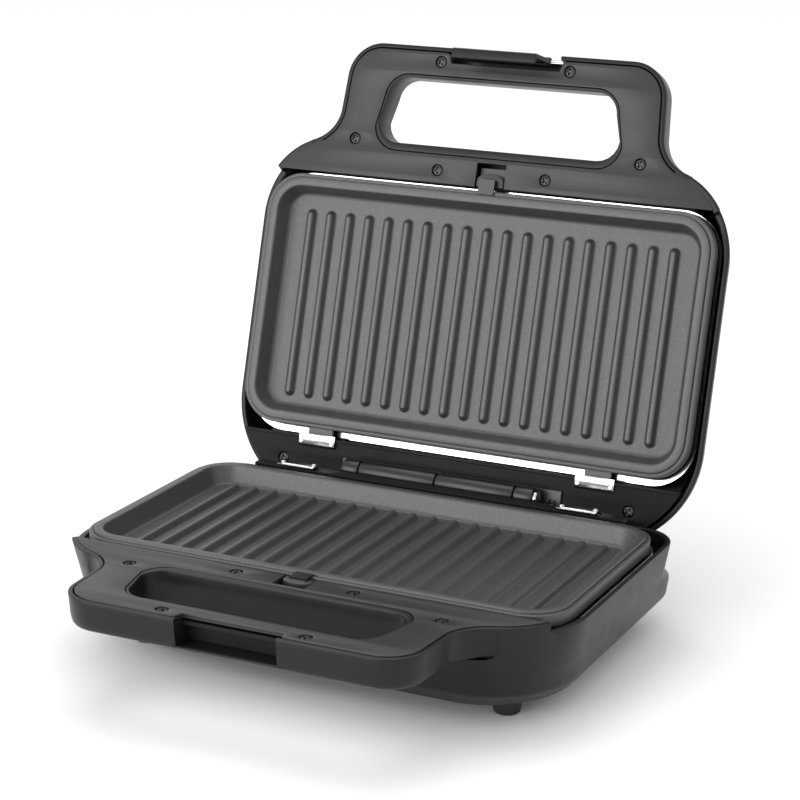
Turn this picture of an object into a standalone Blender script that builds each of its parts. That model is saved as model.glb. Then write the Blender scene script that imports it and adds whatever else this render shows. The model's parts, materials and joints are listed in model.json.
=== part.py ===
"""Panini press: a hinged contact grill with ribbed plates, loop handles and a sprung latch.

Both halves are drawn by the same functions in a half frame, in millimetres: x runs along the
hinge, d runs from the hinge towards the handle, and h rises from the half's inner panel plane
towards the other half. mount() turns a finished piece to its place: the base half stands on its
feet, and the lid half is the same frame seen upside down, swung open about the hinge pin.
"""

import math

import bmesh
import bpy
from mathutils import Vector

MM = 0.001
CLEAR = 0.3                     # gap kept between pieces that touch on the real object
OVERCUT = 1.0                   # how far a cutting solid passes the face that it opens
SINK = 0.5                      # how deep a joined solid starts inside its neighbour

# Whole press
OPEN_ANGLE = 106.4              # lid swing from shut to its open stop, degrees
PANEL_GAP = 8.0                 # between the two inner panel planes with the lid shut
FOOT_HEIGHT = 10.0
BASE_DEPTH = 52.8               # panel plane to the underside of the base tub
LID_DEPTH = 28.5                # panel plane to the crown of the lid
HALF_WIDTH = 151.0              # of either housing at its rim
WALL = 3.0                      # housing wall
SIDE_RIM = -5.5                 # rim height beside and behind the plate
FRONT_RIM = -0.4                # rim height around the handle cover
HINGE_D = 3.0                   # pin axis, in the base's half frame
HINGE_H = -1.03

# Tub in plan
TUB_FRONT = 200.5               # front wall, which is also the window's plate side
TUB_FRONT_WALL = 4.3            # thick enough to meet the window's sleeve
CORNER_X = 46.0                 # front corner, an ellipse
CORNER_D = 50.0
BASE_REAR = 8.0                 # base rear wall above the ledge that the open lid passes
BASE_LOW_REAR = -6.0            # and below that ledge
BASE_REAR_RADIUS = 24.0
LEDGE_TOP = -27.0
LEDGE_FOOT = -31.0
LID_REAR = -20.0
LID_REAR_RADIUS = 62.0

# Tub sections from rim to floor: side inset, front inset, rear edge, rear corner radius, height,
# and how far the cavity lies above that height, in walls
BASE_SECTIONS = (
    (0.0, 0.0, BASE_REAR, BASE_REAR_RADIUS, FRONT_RIM, 0.0),
    (5.0, 4.0, BASE_REAR, BASE_REAR_RADIUS, LEDGE_TOP, -1.0),
    (6.0, 5.0, BASE_LOW_REAR, BASE_REAR_RADIUS, LEDGE_FOOT, -1.0),
    (8.5, 10.0, BASE_LOW_REAR, BASE_REAR_RADIUS - 3.0, -BASE_DEPTH + 10.0, 0.4),
    (17.0, 20.0, BASE_LOW_REAR + 6.0, BASE_REAR_RADIUS - 8.0, -BASE_DEPTH, 1.0),
)
LID_SECTIONS = (
    (0.0, 0.0, LID_REAR, LID_REAR_RADIUS, FRONT_RIM, 0.0),
    (3.5, 3.0, LID_REAR + 1.5, LID_REAR_RADIUS - 2.0, -LID_DEPTH * 0.56, 0.0),
    (9.0, 9.0, LID_REAR + 6.0, LID_REAR_RADIUS - 6.0, -LID_DEPTH * 0.84, 0.6),
    (22.0, 22.0, LID_REAR + 18.0, LID_REAR_RADIUS - 14.0, -LID_DEPTH, 1.0),
)

# Loop handle
HANDLE_HALF = 102.0
HANDLE_FRONT = 259.3
HANDLE_RADIUS = 22.0
HANDLE_DEPTH = 18.0
HANDLE_WALL = 2.6
HANDLE_DRAFT = 1.2              # inset of its side where the rounded lower edge begins
HANDLE_EDGE = (4.0, 5.0)        # inset and height of that edge
HANDLE_FLARE = ((2.2, 211.0), (5.5, 202.0))     # spread past HANDLE_HALF, and where it is reached
HANDLE_ROOT = (106.0, 180.0)    # end of the handle inside the tub
HOLLOW_REAR = TUB_FRONT + 4.0   # end of the space inside the handle
WINDOW_FRONT = 240.0
WINDOW_REAR = TUB_FRONT
WINDOW_HALF_FRONT = 73.0
WINDOW_HALF_REAR = 77.0
WINDOW_RADIUS = 13.0
WINDOW_WALL = 1.8

# Handle cover
COVER_THICK = 2.6
COVER_INSET = WALL + CLEAR
COVER_REAR = 178.7              # edge beside the plate
COVER_WINDOW_REAR = 195.5
COVER_GAP = 0.4                 # round the window's sleeve
COVER_SHOULDER = 78.0           # angle on the tub's corner where the handle's side meets it, degrees
SEAT_REAR = COVER_REAR - 6.0    # rear edge of the cover's seat
SEAT_DEPTH = COVER_THICK + CLEAR
SIDE_STEP_D = 180.0             # where the rim steps down beside the plate
COVER_SCREWS = ((41.2, 250.4), (91.5, 200.7), (34.6, 186.3))
BOSS_RADIUS = 3.6
BASE_POST_FOOT = -42.0          # foot of the posts behind the base's sloping front wall
SCREW_RADIUS = 1.4
SCREW_HEAD_RADIUS = 3.2
SCREW_CROWN_RADIUS = 2.5
SCREW_HEAD = 1.8                # depth of the recess that takes the head
SCREW_HEAD_THICK = 1.3
SCREW_TOP = -0.2
SCREW_LENGTH = 8.0

# Grill plate
PLATE_HALF = 143.5
PLATE_FRONT = 176.5
PLATE_REAR = 24.0
PLATE_RADIUS = 23.0
PLATE_RISE_BASE = 1.0           # lip top above the panel plane
PLATE_RISE_LID = 4.0
FLANGE_WIDTH = 2.6
FLANGE_DROP = 1.2               # flange top below the lip top
LIP_WIDTH = 5.0
PLATE_WALL_RUN = 3.7
PLATE_DEPTH = 11.0              # lip top to plate floor
PLATE_SKIN = 3.0
SKIRT_DROP = 7.5                # flange skirt foot below the lip top
SKIRT_WALL = 2.4
LIP_SKIN = 2.8
LIP_UNDERCUT = 4.6              # inset of the lip's underside
FLOOR_UNDERCUT = 8.7            # inset of the floor's underside
RIB_COUNT = 19
RIB_PITCH = 13.0
RIB_HALF = 3.1
RIB_ROOT_HALF = 2.9
RIB_TOP_HALF = 1.5
RIB_ROOT = 0.3
RIB_HEIGHT = 3.5
RIB_FRONT = 155.5
RIB_REAR = 41.0
TILT_D = 22.5                   # axis that a plate tilts about to come out
TILT_H = -2.6
LUG_X = 90.0
LUG_HALF = 8.0
LUG_TIP = 19.3
LUG_THICK = 1.8
CLIP_HALF = 12.0
CLIP_REAR = 12.2
CLIP_FOOT_EDGE = 15.5
CLIP_TIP = 20.4
CLIP_LOW = 1.3                  # underside of the strip above the lug
CLIP_HIGH = 2.1

# Reflector pan and heating element
PAN_SHEET = 0.8
PAN_FLANGE_H = -8.2
PAN_FLANGE_HALF = 144.6
PAN_FRONT = 178.0
PAN_REAR = 19.2
PAN_FLANGE = 6.4
PAN_RUN = 7.6                   # how far the pan wall slopes in
PAN_FLOOR_BASE = -26.0
PAN_FLOOR_LID = -20.0
PAN_RADII = (26.0, 17.0, 13.0)  # corners of its flange, wall top and floor
PAN_END_RUN = 0.8               # inset at front and rear, as a share of that at the sides
ELEMENT_RADIUS = 3.2
ELEMENT_HALF = 96.0
ELEMENT_FRONT = 140.0
ELEMENT_REAR = 66.0
ELEMENT_GAP = 0.6               # below the plate
THERMOSTAT = (20.0, 100.0)
THERMOSTAT_RADIUS = 8.0
THERMOSTAT_FLANGE = 3.0
THERMOSTAT_HEIGHT = 9.0
FUSE_ENDS = (-34.0, -12.0)
FUSE_D = 100.0
FUSE_RADIUS = 2.2
TERMINAL_X = (-88.0, -58.0)
TERMINAL_D = (30.0, 44.0)
TERMINAL_HEIGHT = 11.0

# Rear strips
STRIP_EDGE = 18.6               # edge beside the plate
STRIP_THICK = 3.0
LID_STRIP_INSET = 5.0
LIP_THICK = 1.6                 # low lip along the lid strip's edge
LIP_HEIGHT = 1.0
STRIP_SCREWS = (112.0, 3.3)
BASE_STRIP_HALF = 118.0
BASE_STRIP_REAR = 11.4
BASE_STRIP_SCREWS = (100.0, 14.9)

# Hinge
BARREL_RADIUS = 6.2
PIN_RADIUS = 2.2
PIN_HEAD_RADIUS = 4.7
PIN_HEAD = 2.2
KNUCKLES = (-65.0, -54.0, -4.0, 46.0, 58.0)     # joint lines along the pin
KNUCKLE_GAP = 0.6
LEAF_THICK = 1.8
LEAF_FOOT = -24.0
LEAF_TOP = -8.6
REAR_GAP = (-70.0, 65.0)        # cut-out of the base's rear wall for the barrel
REAR_GAP_FLOOR = -9.0
TAB_BORE = PIN_RADIUS + 1.5
LID_FOOT_END = 71.0
LID_FOOT_D = (-4.5, 9.0)
LID_FOOT_THICK = 1.4
WEB_D = (-2.5, 8.0)
WEB_SINK = 3.8                  # height above the pin axis where a web starts inside its sleeve
HINGE_SCREW = (66.0, 1.0)
HINGE_SCREW_RADII = (2.6, 2.0)  # of its head's seat and crown
HINGE_SCREW_TOP = 3.2

# Release button and its sprung catch
BUTTON_HALF = 8.4
BUTTON_REAR = COVER_REAR + 0.5
BUTTON_FRONT = 187.0
BUTTON_ARCH = 4.0
BUTTON_TOP = -0.5
BUTTON_FOOT = -5.2
BUTTON_TRAVEL = 4.0
SLIDE_FRONT = TUB_FRONT - TUB_FRONT_WALL - BUTTON_TRAVEL - 1.8      # clears the sloping wall
SLIDE_TOP = -4.6
SLIDE_FOOT = -6.4
NOTCH_HALF = 9.3
NOTCH_FRONT = 193.0
TONGUE_HALF = 5.0
TONGUE_THICK = 1.0
TONGUE_TIP = PLATE_FRONT - 2.0
TONGUE_ROOT = (COVER_REAR + 2.5, COVER_REAR + 4.5)

# Latch
LATCH_D = 255.5
LATCH_H = -5.0
LATCH_HALF = 26.5
LATCH_REACH = 19.0              # free end above the lid's panel plane
LATCH_THICK = 3.0
LATCH_INNER = 1.3               # blade's inner face ahead of the pin axis
LATCH_BARREL = 3.0
LATCH_PIN_RADIUS = 1.2
HOOK_DEPTH = 2.8
HOOK_THICK = 2.5
HOOK_CHAMFER = 0.6
TIP_CHAMFER = 1.0
LATCH_NOTCH = 34.5              # half-width of the notch in the lid's handle
CATCH_NOTCH = 29.0              # and of the notch in the base's handle
NOTCH_EDGE = 250.0              # cover edge in both notches
NOTCH_FLARE = (1.8, 3.8)        # how much wider the cover's notch is at its mouth, and how deep
LATCH_NOTCH_FLOOR = -13.0
SHELF_EDGE = 250.4
SHELF_TOP = -4.0
SHELF_THICK = 2.4
SHELF_BACK = (243.2, 245.6)
CHEEK = 2.6
CHEEK_TOP = -3.2
CHEEK_FRONT = HANDLE_FRONT - 1.5
CATCH_CHEEK_REAR = 244.0

# Feet and fittings
FOOT_X = 109.0
FOOT_FRONT_D = 157.0
FOOT_REAR_D = 18.0
FOOT_RADIUS = 8.4
FOOT_SOLE_RADIUS = 6.0
FOOT_EDGE_RADIUS = 7.2
FOOT_EDGE = 1.0                 # height of the sole's chamfer
GLAND_X = -95.0
GLAND_H = -42.0
GLAND_RADIUS = 6.0
GLAND_BORE = 3.6
GLAND_FLANGE = 2.5              # how far its flange stands out
GLAND_PROUD = 3.0               # and how thick it is behind the wall
GLAND_LENGTH = 10.0
LENS_X = 11.0
LENS_D = 158.0
LENS_RADIUS = 3.6
LENS_CROWN = 0.8                # height and narrowing of its crown
LENS_PROUD = 0.2
LENS_LENGTH = 4.0

FINISHES = {
    "shell_black": ((0.030, 0.030, 0.031), 0.42, 0.0),
    "cover_grey": ((0.150, 0.150, 0.155), 0.36, 0.35),
    "coating": ((0.070, 0.070, 0.072), 0.48, 0.30),
    "bright_steel": ((0.700, 0.700, 0.700), 0.18, 1.0),
    "heater_steel": ((0.180, 0.175, 0.170), 0.45, 0.9),
    "rubber": ((0.020, 0.020, 0.020), 0.75, 0.0),
    "button_grey": ((0.200, 0.200, 0.205), 0.40, 0.1),
    "insulator": ((0.600, 0.580, 0.530), 0.60, 0.0),
    "lens_red": ((0.500, 0.020, 0.015), 0.15, 0.0),
    "lens_green": ((0.020, 0.350, 0.050), 0.15, 0.0),
}


# ---------------------------------------------------------------- outlines and solids

def arc(centre, radii, start, end, steps):
    """Points (x, d) on an ellipse from angle start to end, in degrees."""
    turns = (math.radians(start + (end - start) * i / steps) for i in range(steps + 1))
    return [(centre[0] + radii[0] * math.cos(t), centre[1] + radii[1] * math.sin(t)) for t in turns]


def mirrored(right_side):
    """Closed outline from the points of its right-hand side, front to rear."""
    return right_side + [(-x, d) for x, d in reversed(right_side) if x > 1e-6]


def rounded(half, front, rear, front_radii, rear_radius, steps=4):
    """Outline with elliptical front corners and round rear corners."""
    rx, rd = front_radii
    side = arc((half - rx, front - rd), (rx, rd), 90, 0, steps)
    side += arc((half - rear_radius, rear + rear_radius), (rear_radius, rear_radius), 0, -90, steps)
    return mirrored(side)


def window(grow, rear_grow=None):
    """The handle window's outline, grown on every side."""
    rear_grow = grow if rear_grow is None else rear_grow
    radius = WINDOW_RADIUS + grow
    front, rear = WINDOW_FRONT + grow, WINDOW_REAR - rear_grow
    side = arc((WINDOW_HALF_FRONT + grow - radius, front - radius), (radius, radius), 90, 4, 3)
    side += arc((WINDOW_HALF_REAR + grow - radius, rear + radius), (radius, radius), -4, -90, 3)
    return mirrored(side)


def handle_side(inset, root):
    """Right-hand side of the loop handle from its front to the point where it enters the tub."""
    radius = HANDLE_RADIUS - inset
    centre = (HANDLE_HALF - HANDLE_RADIUS, HANDLE_FRONT - HANDLE_RADIUS)
    side = arc(centre, (radius, radius), 90, 0, 4)
    (spread, d), (last_spread, last_d) = HANDLE_FLARE
    side += [(HANDLE_HALF + spread - inset, d), (HANDLE_HALF + last_spread - inset, last_d - inset / 2)]
    return side + root


def cover_outline(inset, rear):
    """The housing's front outline, inset, cut straight across beside the plate."""
    radii = (CORNER_X - inset, CORNER_D - inset)
    centre = (HALF_WIDTH - CORNER_X, TUB_FRONT - CORNER_D)
    last = math.degrees(math.asin((rear - centre[1]) / radii[1]))
    return mirrored(handle_side(inset, arc(centre, radii, COVER_SHOULDER, last, 4)))


def solid_from(name, vertices, faces):
    """A mesh object from millimetre points, with its faces turned outwards."""
    mesh = bpy.data.meshes.new(name)
    shape = bmesh.new()
    verts = [shape.verts.new(Vector(v) * MM) for v in vertices]
    for face in faces:
        shape.faces.new([verts[i] for i in face])
    bmesh.ops.recalc_face_normals(shape, faces=shape.faces)
    shape.to_mesh(mesh)
    shape.free()
    piece = bpy.data.objects.new(name, mesh)
    bpy.context.scene.collection.objects.link(piece)
    return piece


def loft(name, levels):
    """Closed solid through outlines of equal length, each given with its height."""
    count = len(levels[0][0])
    vertices = [(x, -d, h) for outline, h in levels for x, d in outline]
    faces = [list(range(count)), [len(vertices) - count + i for i in range(count)]]
    for row in range(len(levels) - 1):
        for i in range(count):
            j = (i + 1) % count
            low, high = row * count, (row + 1) * count
            faces.append((low + i, low + j, high + j, high + i))
    return solid_from(name, vertices, faces)


def prism(name, outline, low, high):
    """Outline carried straight up from one height to another."""
    return loft(name, [(outline, low), (outline, high)])


def block(name, xs, ds, hs):
    """Box between two values of x, d and h."""
    outline = [(xs[0], ds[0]), (xs[1], ds[0]), (xs[1], ds[1]), (xs[0], ds[1])]
    return prism(name, outline, *hs)


def rod(name, x, d, radius, low, high, sides=10, tip=None):
    """Upright round bar, or a cone where tip gives the upper radius."""
    tip = radius if tip is None else tip
    step = 360.0 / sides
    rings = [arc((x, d), (r, r), step / 2, 360 - step / 2, sides - 1) for r in (radius, tip)]
    return loft(name, [(rings[0], low), (rings[1], high)])


def bar(name, profile, start, end):
    """Profile of (d, h) points carried along x."""
    count = len(profile)
    vertices = [(x, -d, h) for x in (start, end) for d, h in profile]
    faces = [list(range(count)), [count + i for i in range(count)]]
    faces += [(i, (i + 1) % count, count + (i + 1) % count, count + i) for i in range(count)]
    return solid_from(name, vertices, faces)


def circle(d, h, radius, sides):
    """Circle of (d, h) points, flat side up."""
    step = 360.0 / sides
    return arc((d, h), (radius, radius), step / 2, 360 - step / 2, sides - 1)


def combine(piece, others, operation):
    """Add or cut other solids and keep the result as the piece's own mesh."""
    for other in others:
        change = piece.modifiers.new(other.name, "BOOLEAN")
        change.operation = operation
        change.object = other
        change.solver = "EXACT"
    result = piece.evaluated_get(bpy.context.evaluated_depsgraph_get())
    mesh = bpy.data.meshes.new_from_object(result)
    piece.modifiers.clear()
    piece.data = mesh
    for other in others:
        bpy.data.objects.remove(other)
    return piece


def cut(piece, *others):
    """Take other solids out of a piece."""
    return combine(piece, others, "DIFFERENCE")


def join(piece, *others):
    """Add other solids to a piece."""
    return combine(piece, others, "UNION")


# ---------------------------------------------------------------- placing

class Half:
    """One half of the press: its name, its sizes and the empty that its pieces hang on."""

    def __init__(self, name, is_lid, rise, pan_floor, frame):
        self.name = name
        self.is_lid = is_lid
        self.rise = rise
        self.pan_floor = pan_floor
        self.frame = frame

    def place(self, x, d, h):
        """Half-frame millimetres to metres in the frame empty's own space."""
        height = PANEL_GAP - h if self.is_lid else h
        if self.is_lid:
            return Vector((x, HINGE_D - d, height - HINGE_H)) * MM
        return Vector((x, -d, height)) * MM


def mount(piece, half, finish, origin=(0.0, 0.0, 0.0)):
    """Move a piece from the half frame to its half, with its origin where it pivots or sits."""
    seat = half.place(*origin)
    for vertex in piece.data.vertices:
        x, y, z = vertex.co / MM
        vertex.co = half.place(x, -y, z) - seat
    if half.is_lid:
        piece.data.flip_normals()
    piece.parent = half.frame
    piece.location = seat
    colour, roughness, metallic = FINISHES[finish]
    material = bpy.data.materials.new(piece.name)
    material.use_nodes = True
    shader = material.node_tree.nodes["Principled BSDF"]
    shader.inputs["Base Color"].default_value = (*colour, 1.0)
    shader.inputs["Roughness"].default_value = roughness
    shader.inputs["Metallic"].default_value = metallic
    piece.data.materials.clear()
    piece.data.materials.append(material)
    piece.data.shade_smooth()
    piece.data.set_sharp_from_angle(angle=math.radians(35))
    return piece


# ---------------------------------------------------------------- housings

def tub_levels(sections, wall):
    """Outlines and heights of a tub from rim to floor, or with a wall, of the space inside it."""
    levels = [(tub_ring(wall, *row[:4]), row[4] + wall * row[5]) for row in sections]
    if wall:
        levels[0] = (levels[0][0], OVERCUT)
    return levels


def tub_ring(wall, side_in, front_in, rear, rear_radius):
    """Outline of one tub section, drawn in by a wall."""
    front_wall = TUB_FRONT_WALL if wall else 0.0
    radii = (CORNER_X - wall, CORNER_D - front_wall)
    return rounded(HALF_WIDTH - side_in - wall, TUB_FRONT - front_in - front_wall, rear + wall,
                   radii, rear_radius - wall)


def housing(half):
    """Tub with its loop handle, hollow, with the window, screw bosses and latch notch."""
    name = f"{half.name}_housing"
    sections = LID_SECTIONS if half.is_lid else BASE_SECTIONS
    root = [HANDLE_ROOT]
    inner_root = [(HANDLE_HALF - HANDLE_WALL + HANDLE_FLARE[0][0], HOLLOW_REAR)]
    edge_inset, edge_height = HANDLE_EDGE
    under, over = -HANDLE_DEPTH - OVERCUT, 2 * OVERCUT
    shell = loft(name, tub_levels(sections, 0.0))
    handle = loft("handle", [
        (mirrored(handle_side(0.0, root)), FRONT_RIM),
        (mirrored(handle_side(HANDLE_DRAFT, root)), -HANDLE_DEPTH + edge_height),
        (mirrored(handle_side(edge_inset, root)), -HANDLE_DEPTH),
    ])
    join(shell, handle)

    hollow_outline = mirrored(handle_side(HANDLE_WALL, [])[:5] + inner_root)
    hollow = prism("hollow", hollow_outline, -HANDLE_DEPTH + HANDLE_WALL, OVERCUT)
    cut(hollow, prism("ring", window(WINDOW_WALL), under, over))
    cut(shell, hollow, loft("bay", tub_levels(sections, WALL)))
    cut(shell, prism("window", window(0.0), under, over))

    seat = prism("seat", cover_outline(WALL, SEAT_REAR), -SEAT_DEPTH, over)
    sleeve = window(WINDOW_WALL, TUB_FRONT - COVER_WINDOW_REAR - COVER_GAP)
    cut(seat, prism("kept_ring", sleeve, -SEAT_DEPTH - OVERCUT, over + OVERCUT))
    cut(shell, seat)

    reach = HALF_WIDTH + OVERCUT
    cut(shell, block("side", (-reach, reach), (LID_REAR - OVERCUT, SIDE_STEP_D), (SIDE_RIM, over)))
    bosses(shell, half)
    if half.is_lid:
        latch_notch(shell)
        strip_seats(shell, STRIP_SCREWS, -STRIP_THICK - CLEAR, -LID_DEPTH + WALL - OVERCUT)
        for x in (-LENS_X, LENS_X):
            cut(shell, rod("lens_hole", x, LENS_D, LENS_RADIUS + CLEAR, -LID_DEPTH - OVERCUT,
                           -LID_DEPTH + WALL + OVERCUT, 12))
    else:
        catch_notch(shell)
        strip_seats(shell, BASE_STRIP_SCREWS, -STRIP_THICK - CLEAR, -BASE_DEPTH + WALL - OVERCUT)
        wall = (BASE_REAR - OVERCUT, BASE_REAR + WALL + OVERCUT)
        cut(shell, block("rear_gap", REAR_GAP, wall, (REAR_GAP_FLOOR, over)))
        port = upright_ring(GLAND_RADIUS + CLEAR)
        cut(shell, along_d("gland_port", port, BASE_LOW_REAR - OVERCUT, BASE_REAR))
    return mount(shell, half, "shell_black")


def upright_ring(radius, sides=12):
    """Circle of (x, h) points about the cord gland's axis."""
    return circle(GLAND_X, GLAND_H, radius, sides)


def along_d(name, profile, start, end):
    """Profile of (x, h) points carried along d."""
    count = len(profile)
    vertices = [(x, -d, h) for d in (start, end) for x, h in profile]
    faces = [list(range(count)), [count + i for i in range(count)]]
    faces += [(i, (i + 1) % count, count + (i + 1) % count, count + i) for i in range(count)]
    return solid_from(name, vertices, faces)


def bosses(shell, half):
    """Screw posts under the cover, each drilled for its screw."""
    top = -SEAT_DEPTH
    post_foot = -LID_DEPTH + WALL - OVERCUT if half.is_lid else BASE_POST_FOOT
    handle_foot = -HANDLE_DEPTH + HANDLE_WALL - SINK
    feet = (handle_foot, handle_foot, post_foot)
    for (x, d), foot in zip(COVER_SCREWS, feet):
        for side in (-x, x):
            join(shell, rod("boss", side, d, BOSS_RADIUS, foot, top, 8))
            cut(shell, rod("drill", side, d, SCREW_RADIUS + CLEAR, top - SCREW_LENGTH, top + OVERCUT, 8))


def strip_seats(shell, spot, top, foot):
    """Two posts that carry a rear strip."""
    x, d = spot
    for side in (-x, x):
        join(shell, rod("seat", side, d, BOSS_RADIUS, foot, top, 8))
        cut(shell, rod("drill", side, d, SCREW_RADIUS + CLEAR, top - SCREW_LENGTH, top + OVERCUT, 8))


def latch_notch(shell):
    """Notch in the lid's handle, with a cheek at each end that holds the latch pin."""
    floor = -HANDLE_DEPTH + HANDLE_WALL
    front = HANDLE_FRONT + OVERCUT
    cut(shell, block("mouth", (-LATCH_NOTCH, LATCH_NOTCH), (NOTCH_EDGE, front),
                     (LATCH_NOTCH_FLOOR, OVERCUT)))
    for side in (-1, 1):
        xs = sorted((side * LATCH_NOTCH, side * (LATCH_NOTCH + CHEEK)))
        join(shell, block("cheek", xs, (NOTCH_EDGE + SINK, CHEEK_FRONT), (floor - SINK, CHEEK_TOP)))
    reach = LATCH_NOTCH + CHEEK + OVERCUT
    hole = circle(LATCH_D, LATCH_H, LATCH_PIN_RADIUS + CLEAR, 8)
    cut(shell, bar("pin_hole", hole, -reach, reach))


def catch_notch(shell):
    """Notch in the base's handle, with the shelf that the latch hooks under."""
    floor = -HANDLE_DEPTH + HANDLE_WALL
    front = HANDLE_FRONT + OVERCUT
    cut(shell, block("mouth", (-CATCH_NOTCH, CATCH_NOTCH), (NOTCH_EDGE, front), (floor, OVERCUT)))
    end = CATCH_NOTCH + CHEEK
    for side in (-1, 1):
        xs = sorted((side * CATCH_NOTCH, side * end))
        join(shell, block("cheek", xs, (CATCH_CHEEK_REAR, CHEEK_FRONT), (floor - SINK, CHEEK_TOP)))
    xs = (SINK - end, end - SINK)
    join(shell, block("shelf", xs, (SHELF_BACK[1] - SINK, SHELF_EDGE), (SHELF_TOP - SHELF_THICK, SHELF_TOP)))
    join(shell, block("back", xs, SHELF_BACK, (floor - SINK, SHELF_TOP)))


# ---------------------------------------------------------------- covers, strips and screws

def handle_cover(half):
    """Flat cover over the handle, cut for the window, the button and the latch."""
    cover = prism(f"{half.name}_handle_cover", cover_outline(COVER_INSET, COVER_REAR),
                  -COVER_THICK, 0.0)
    span = (-COVER_THICK - OVERCUT, OVERCUT)
    hole = window(WINDOW_WALL + COVER_GAP, TUB_FRONT - COVER_WINDOW_REAR)
    cut(cover, prism("window", hole, *span))
    notch = LATCH_NOTCH if half.is_lid else CATCH_NOTCH
    wider, deep = NOTCH_FLARE
    flare = [(notch + wider, HANDLE_FRONT), (notch + wider, HANDLE_FRONT - deep), (notch, NOTCH_EDGE)]
    cut(cover, prism("latch_notch", mirrored(flare), *span))
    rear = COVER_REAR - OVERCUT
    cut(cover, block("button_notch", (-NOTCH_HALF, NOTCH_HALF), (rear, NOTCH_FRONT), span))
    for x, d in COVER_SCREWS:
        for side in (-x, x):
            screw_seat(cover, side, d, COVER_THICK)
    return mount(cover, half, "cover_grey")


def screw_seat(panel, x, d, thick):
    """Recess for a screw head and the hole below it."""
    cut(panel, rod("recess", x, d, SCREW_HEAD_RADIUS + CLEAR, -SCREW_HEAD, 2 * OVERCUT, 12))
    cut(panel, rod("hole", x, d, SCREW_RADIUS + CLEAR, -thick - OVERCUT, OVERCUT, 8))


def screw(name, half, x, d):
    """Pan-head screw in its recess."""
    top = SCREW_TOP
    head = rod(name, x, d, SCREW_HEAD_RADIUS, top - SCREW_HEAD_THICK, top, 12, SCREW_CROWN_RADIUS)
    join(head, rod("shank", x, d, SCREW_RADIUS, top - SCREW_LENGTH, top - SINK, 8))
    return mount(head, half, "bright_steel", (x, d, top))


def cover_screws(half):
    """The six screws that hold a handle cover."""
    number = 1
    for x, d in COVER_SCREWS:
        for side in (-x, x):
            screw(f"{half.name}_cover_screw_{number}", half, side, d)
            number += 1


def lid_strip(half):
    """Black strip that closes the lid behind its plate, with a low lip beside the plate."""
    inset = LID_STRIP_INSET
    radius = LID_REAR_RADIUS - inset
    centre = (HALF_WIDTH - LID_REAR_RADIUS, LID_REAR + LID_REAR_RADIUS)
    start = -math.degrees(math.asin((centre[1] - STRIP_EDGE) / radius))
    side = arc(centre, (radius, radius), start, -90, 6)
    strip = prism("lid_rear_strip", mirrored(side), -STRIP_THICK, 0.0)
    end = side[0][0] - 1.0
    join(strip, block("lip", (-end, end), (STRIP_EDGE - LIP_THICK, STRIP_EDGE), (-1.0, LIP_HEIGHT)))
    x, d = STRIP_SCREWS
    for place in (-x, x):
        screw_seat(strip, place, d, STRIP_THICK)
        screw(f"lid_strip_screw_{'left' if place < 0 else 'right'}", half, place, d)
    return mount(strip, half, "shell_black")


def base_strip(half):
    """Narrow strip behind the base's plate, above the rear wall."""
    reach = BASE_STRIP_HALF
    edges = (BASE_STRIP_REAR, STRIP_EDGE)
    strip = block("base_rear_strip", (-reach, reach), edges, (-STRIP_THICK, 0.0))
    x, d = BASE_STRIP_SCREWS
    for place in (-x, x):
        screw_seat(strip, place, d, STRIP_THICK)
        screw(f"base_strip_screw_{'left' if place < 0 else 'right'}", half, place, d)
    return mount(strip, half, "shell_black")


# ---------------------------------------------------------------- heating

def reflector(half):
    """Bright pan below the plate."""
    def ring(inset, radius):
        end = inset * PAN_END_RUN
        return rounded(PAN_FLANGE_HALF - inset, PAN_FRONT - end, PAN_REAR + end, (radius, radius), radius)
    top, floor, sheet = PAN_FLANGE_H, half.pan_floor, PAN_SHEET
    edge, mouth, foot = PAN_RADII
    inner = PAN_FLANGE + PAN_RUN
    pan = loft(f"{half.name}_reflector", [
        (ring(0.0, edge), top), (ring(0.0, edge), top - sheet),
        (ring(PAN_FLANGE - sheet, mouth), top - sheet), (ring(inner, foot), floor - sheet)])
    well = loft("well", [
        (ring(PAN_FLANGE - 1.0, mouth), top + OVERCUT), (ring(PAN_FLANGE, mouth), top),
        (ring(inner + 0.6, foot), floor)])
    cut(pan, well)
    return mount(pan, half, "bright_steel")


def element(half):
    """Hairpin tube heater, carried close under the plate floor."""
    centre = half.rise - PLATE_DEPTH - PLATE_SKIN - ELEMENT_GAP - ELEMENT_RADIUS
    bend = (ELEMENT_FRONT - ELEMENT_REAR) / 2
    middle = (ELEMENT_FRONT + ELEMENT_REAR) / 2
    path = [(-ELEMENT_HALF, ELEMENT_FRONT)]
    path += arc((ELEMENT_HALF - bend, middle), (bend, bend), 90, -90, 8)
    path += [(-ELEMENT_HALF, ELEMENT_REAR)]
    sides = 6
    vertices = []
    for i, (x, d) in enumerate(path):
        before, after = path[max(i - 1, 0)], path[min(i + 1, len(path) - 1)]
        run = Vector((after[0] - before[0], after[1] - before[1])).normalized()
        for k in range(sides):
            turn = 2 * math.pi * k / sides
            out = ELEMENT_RADIUS * math.cos(turn)
            vertices.append((x - run.y * out, -(d + run.x * out), centre + ELEMENT_RADIUS * math.sin(turn)))
    faces = [list(range(sides)), [len(vertices) - sides + k for k in range(sides)]]
    for i in range(len(path) - 1):
        for k in range(sides):
            a, b = i * sides + k, i * sides + (k + 1) % sides
            faces.append((a, b, b + sides, a + sides))
    return mount(solid_from(f"{half.name}_element", vertices, faces), half, "heater_steel")


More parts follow.
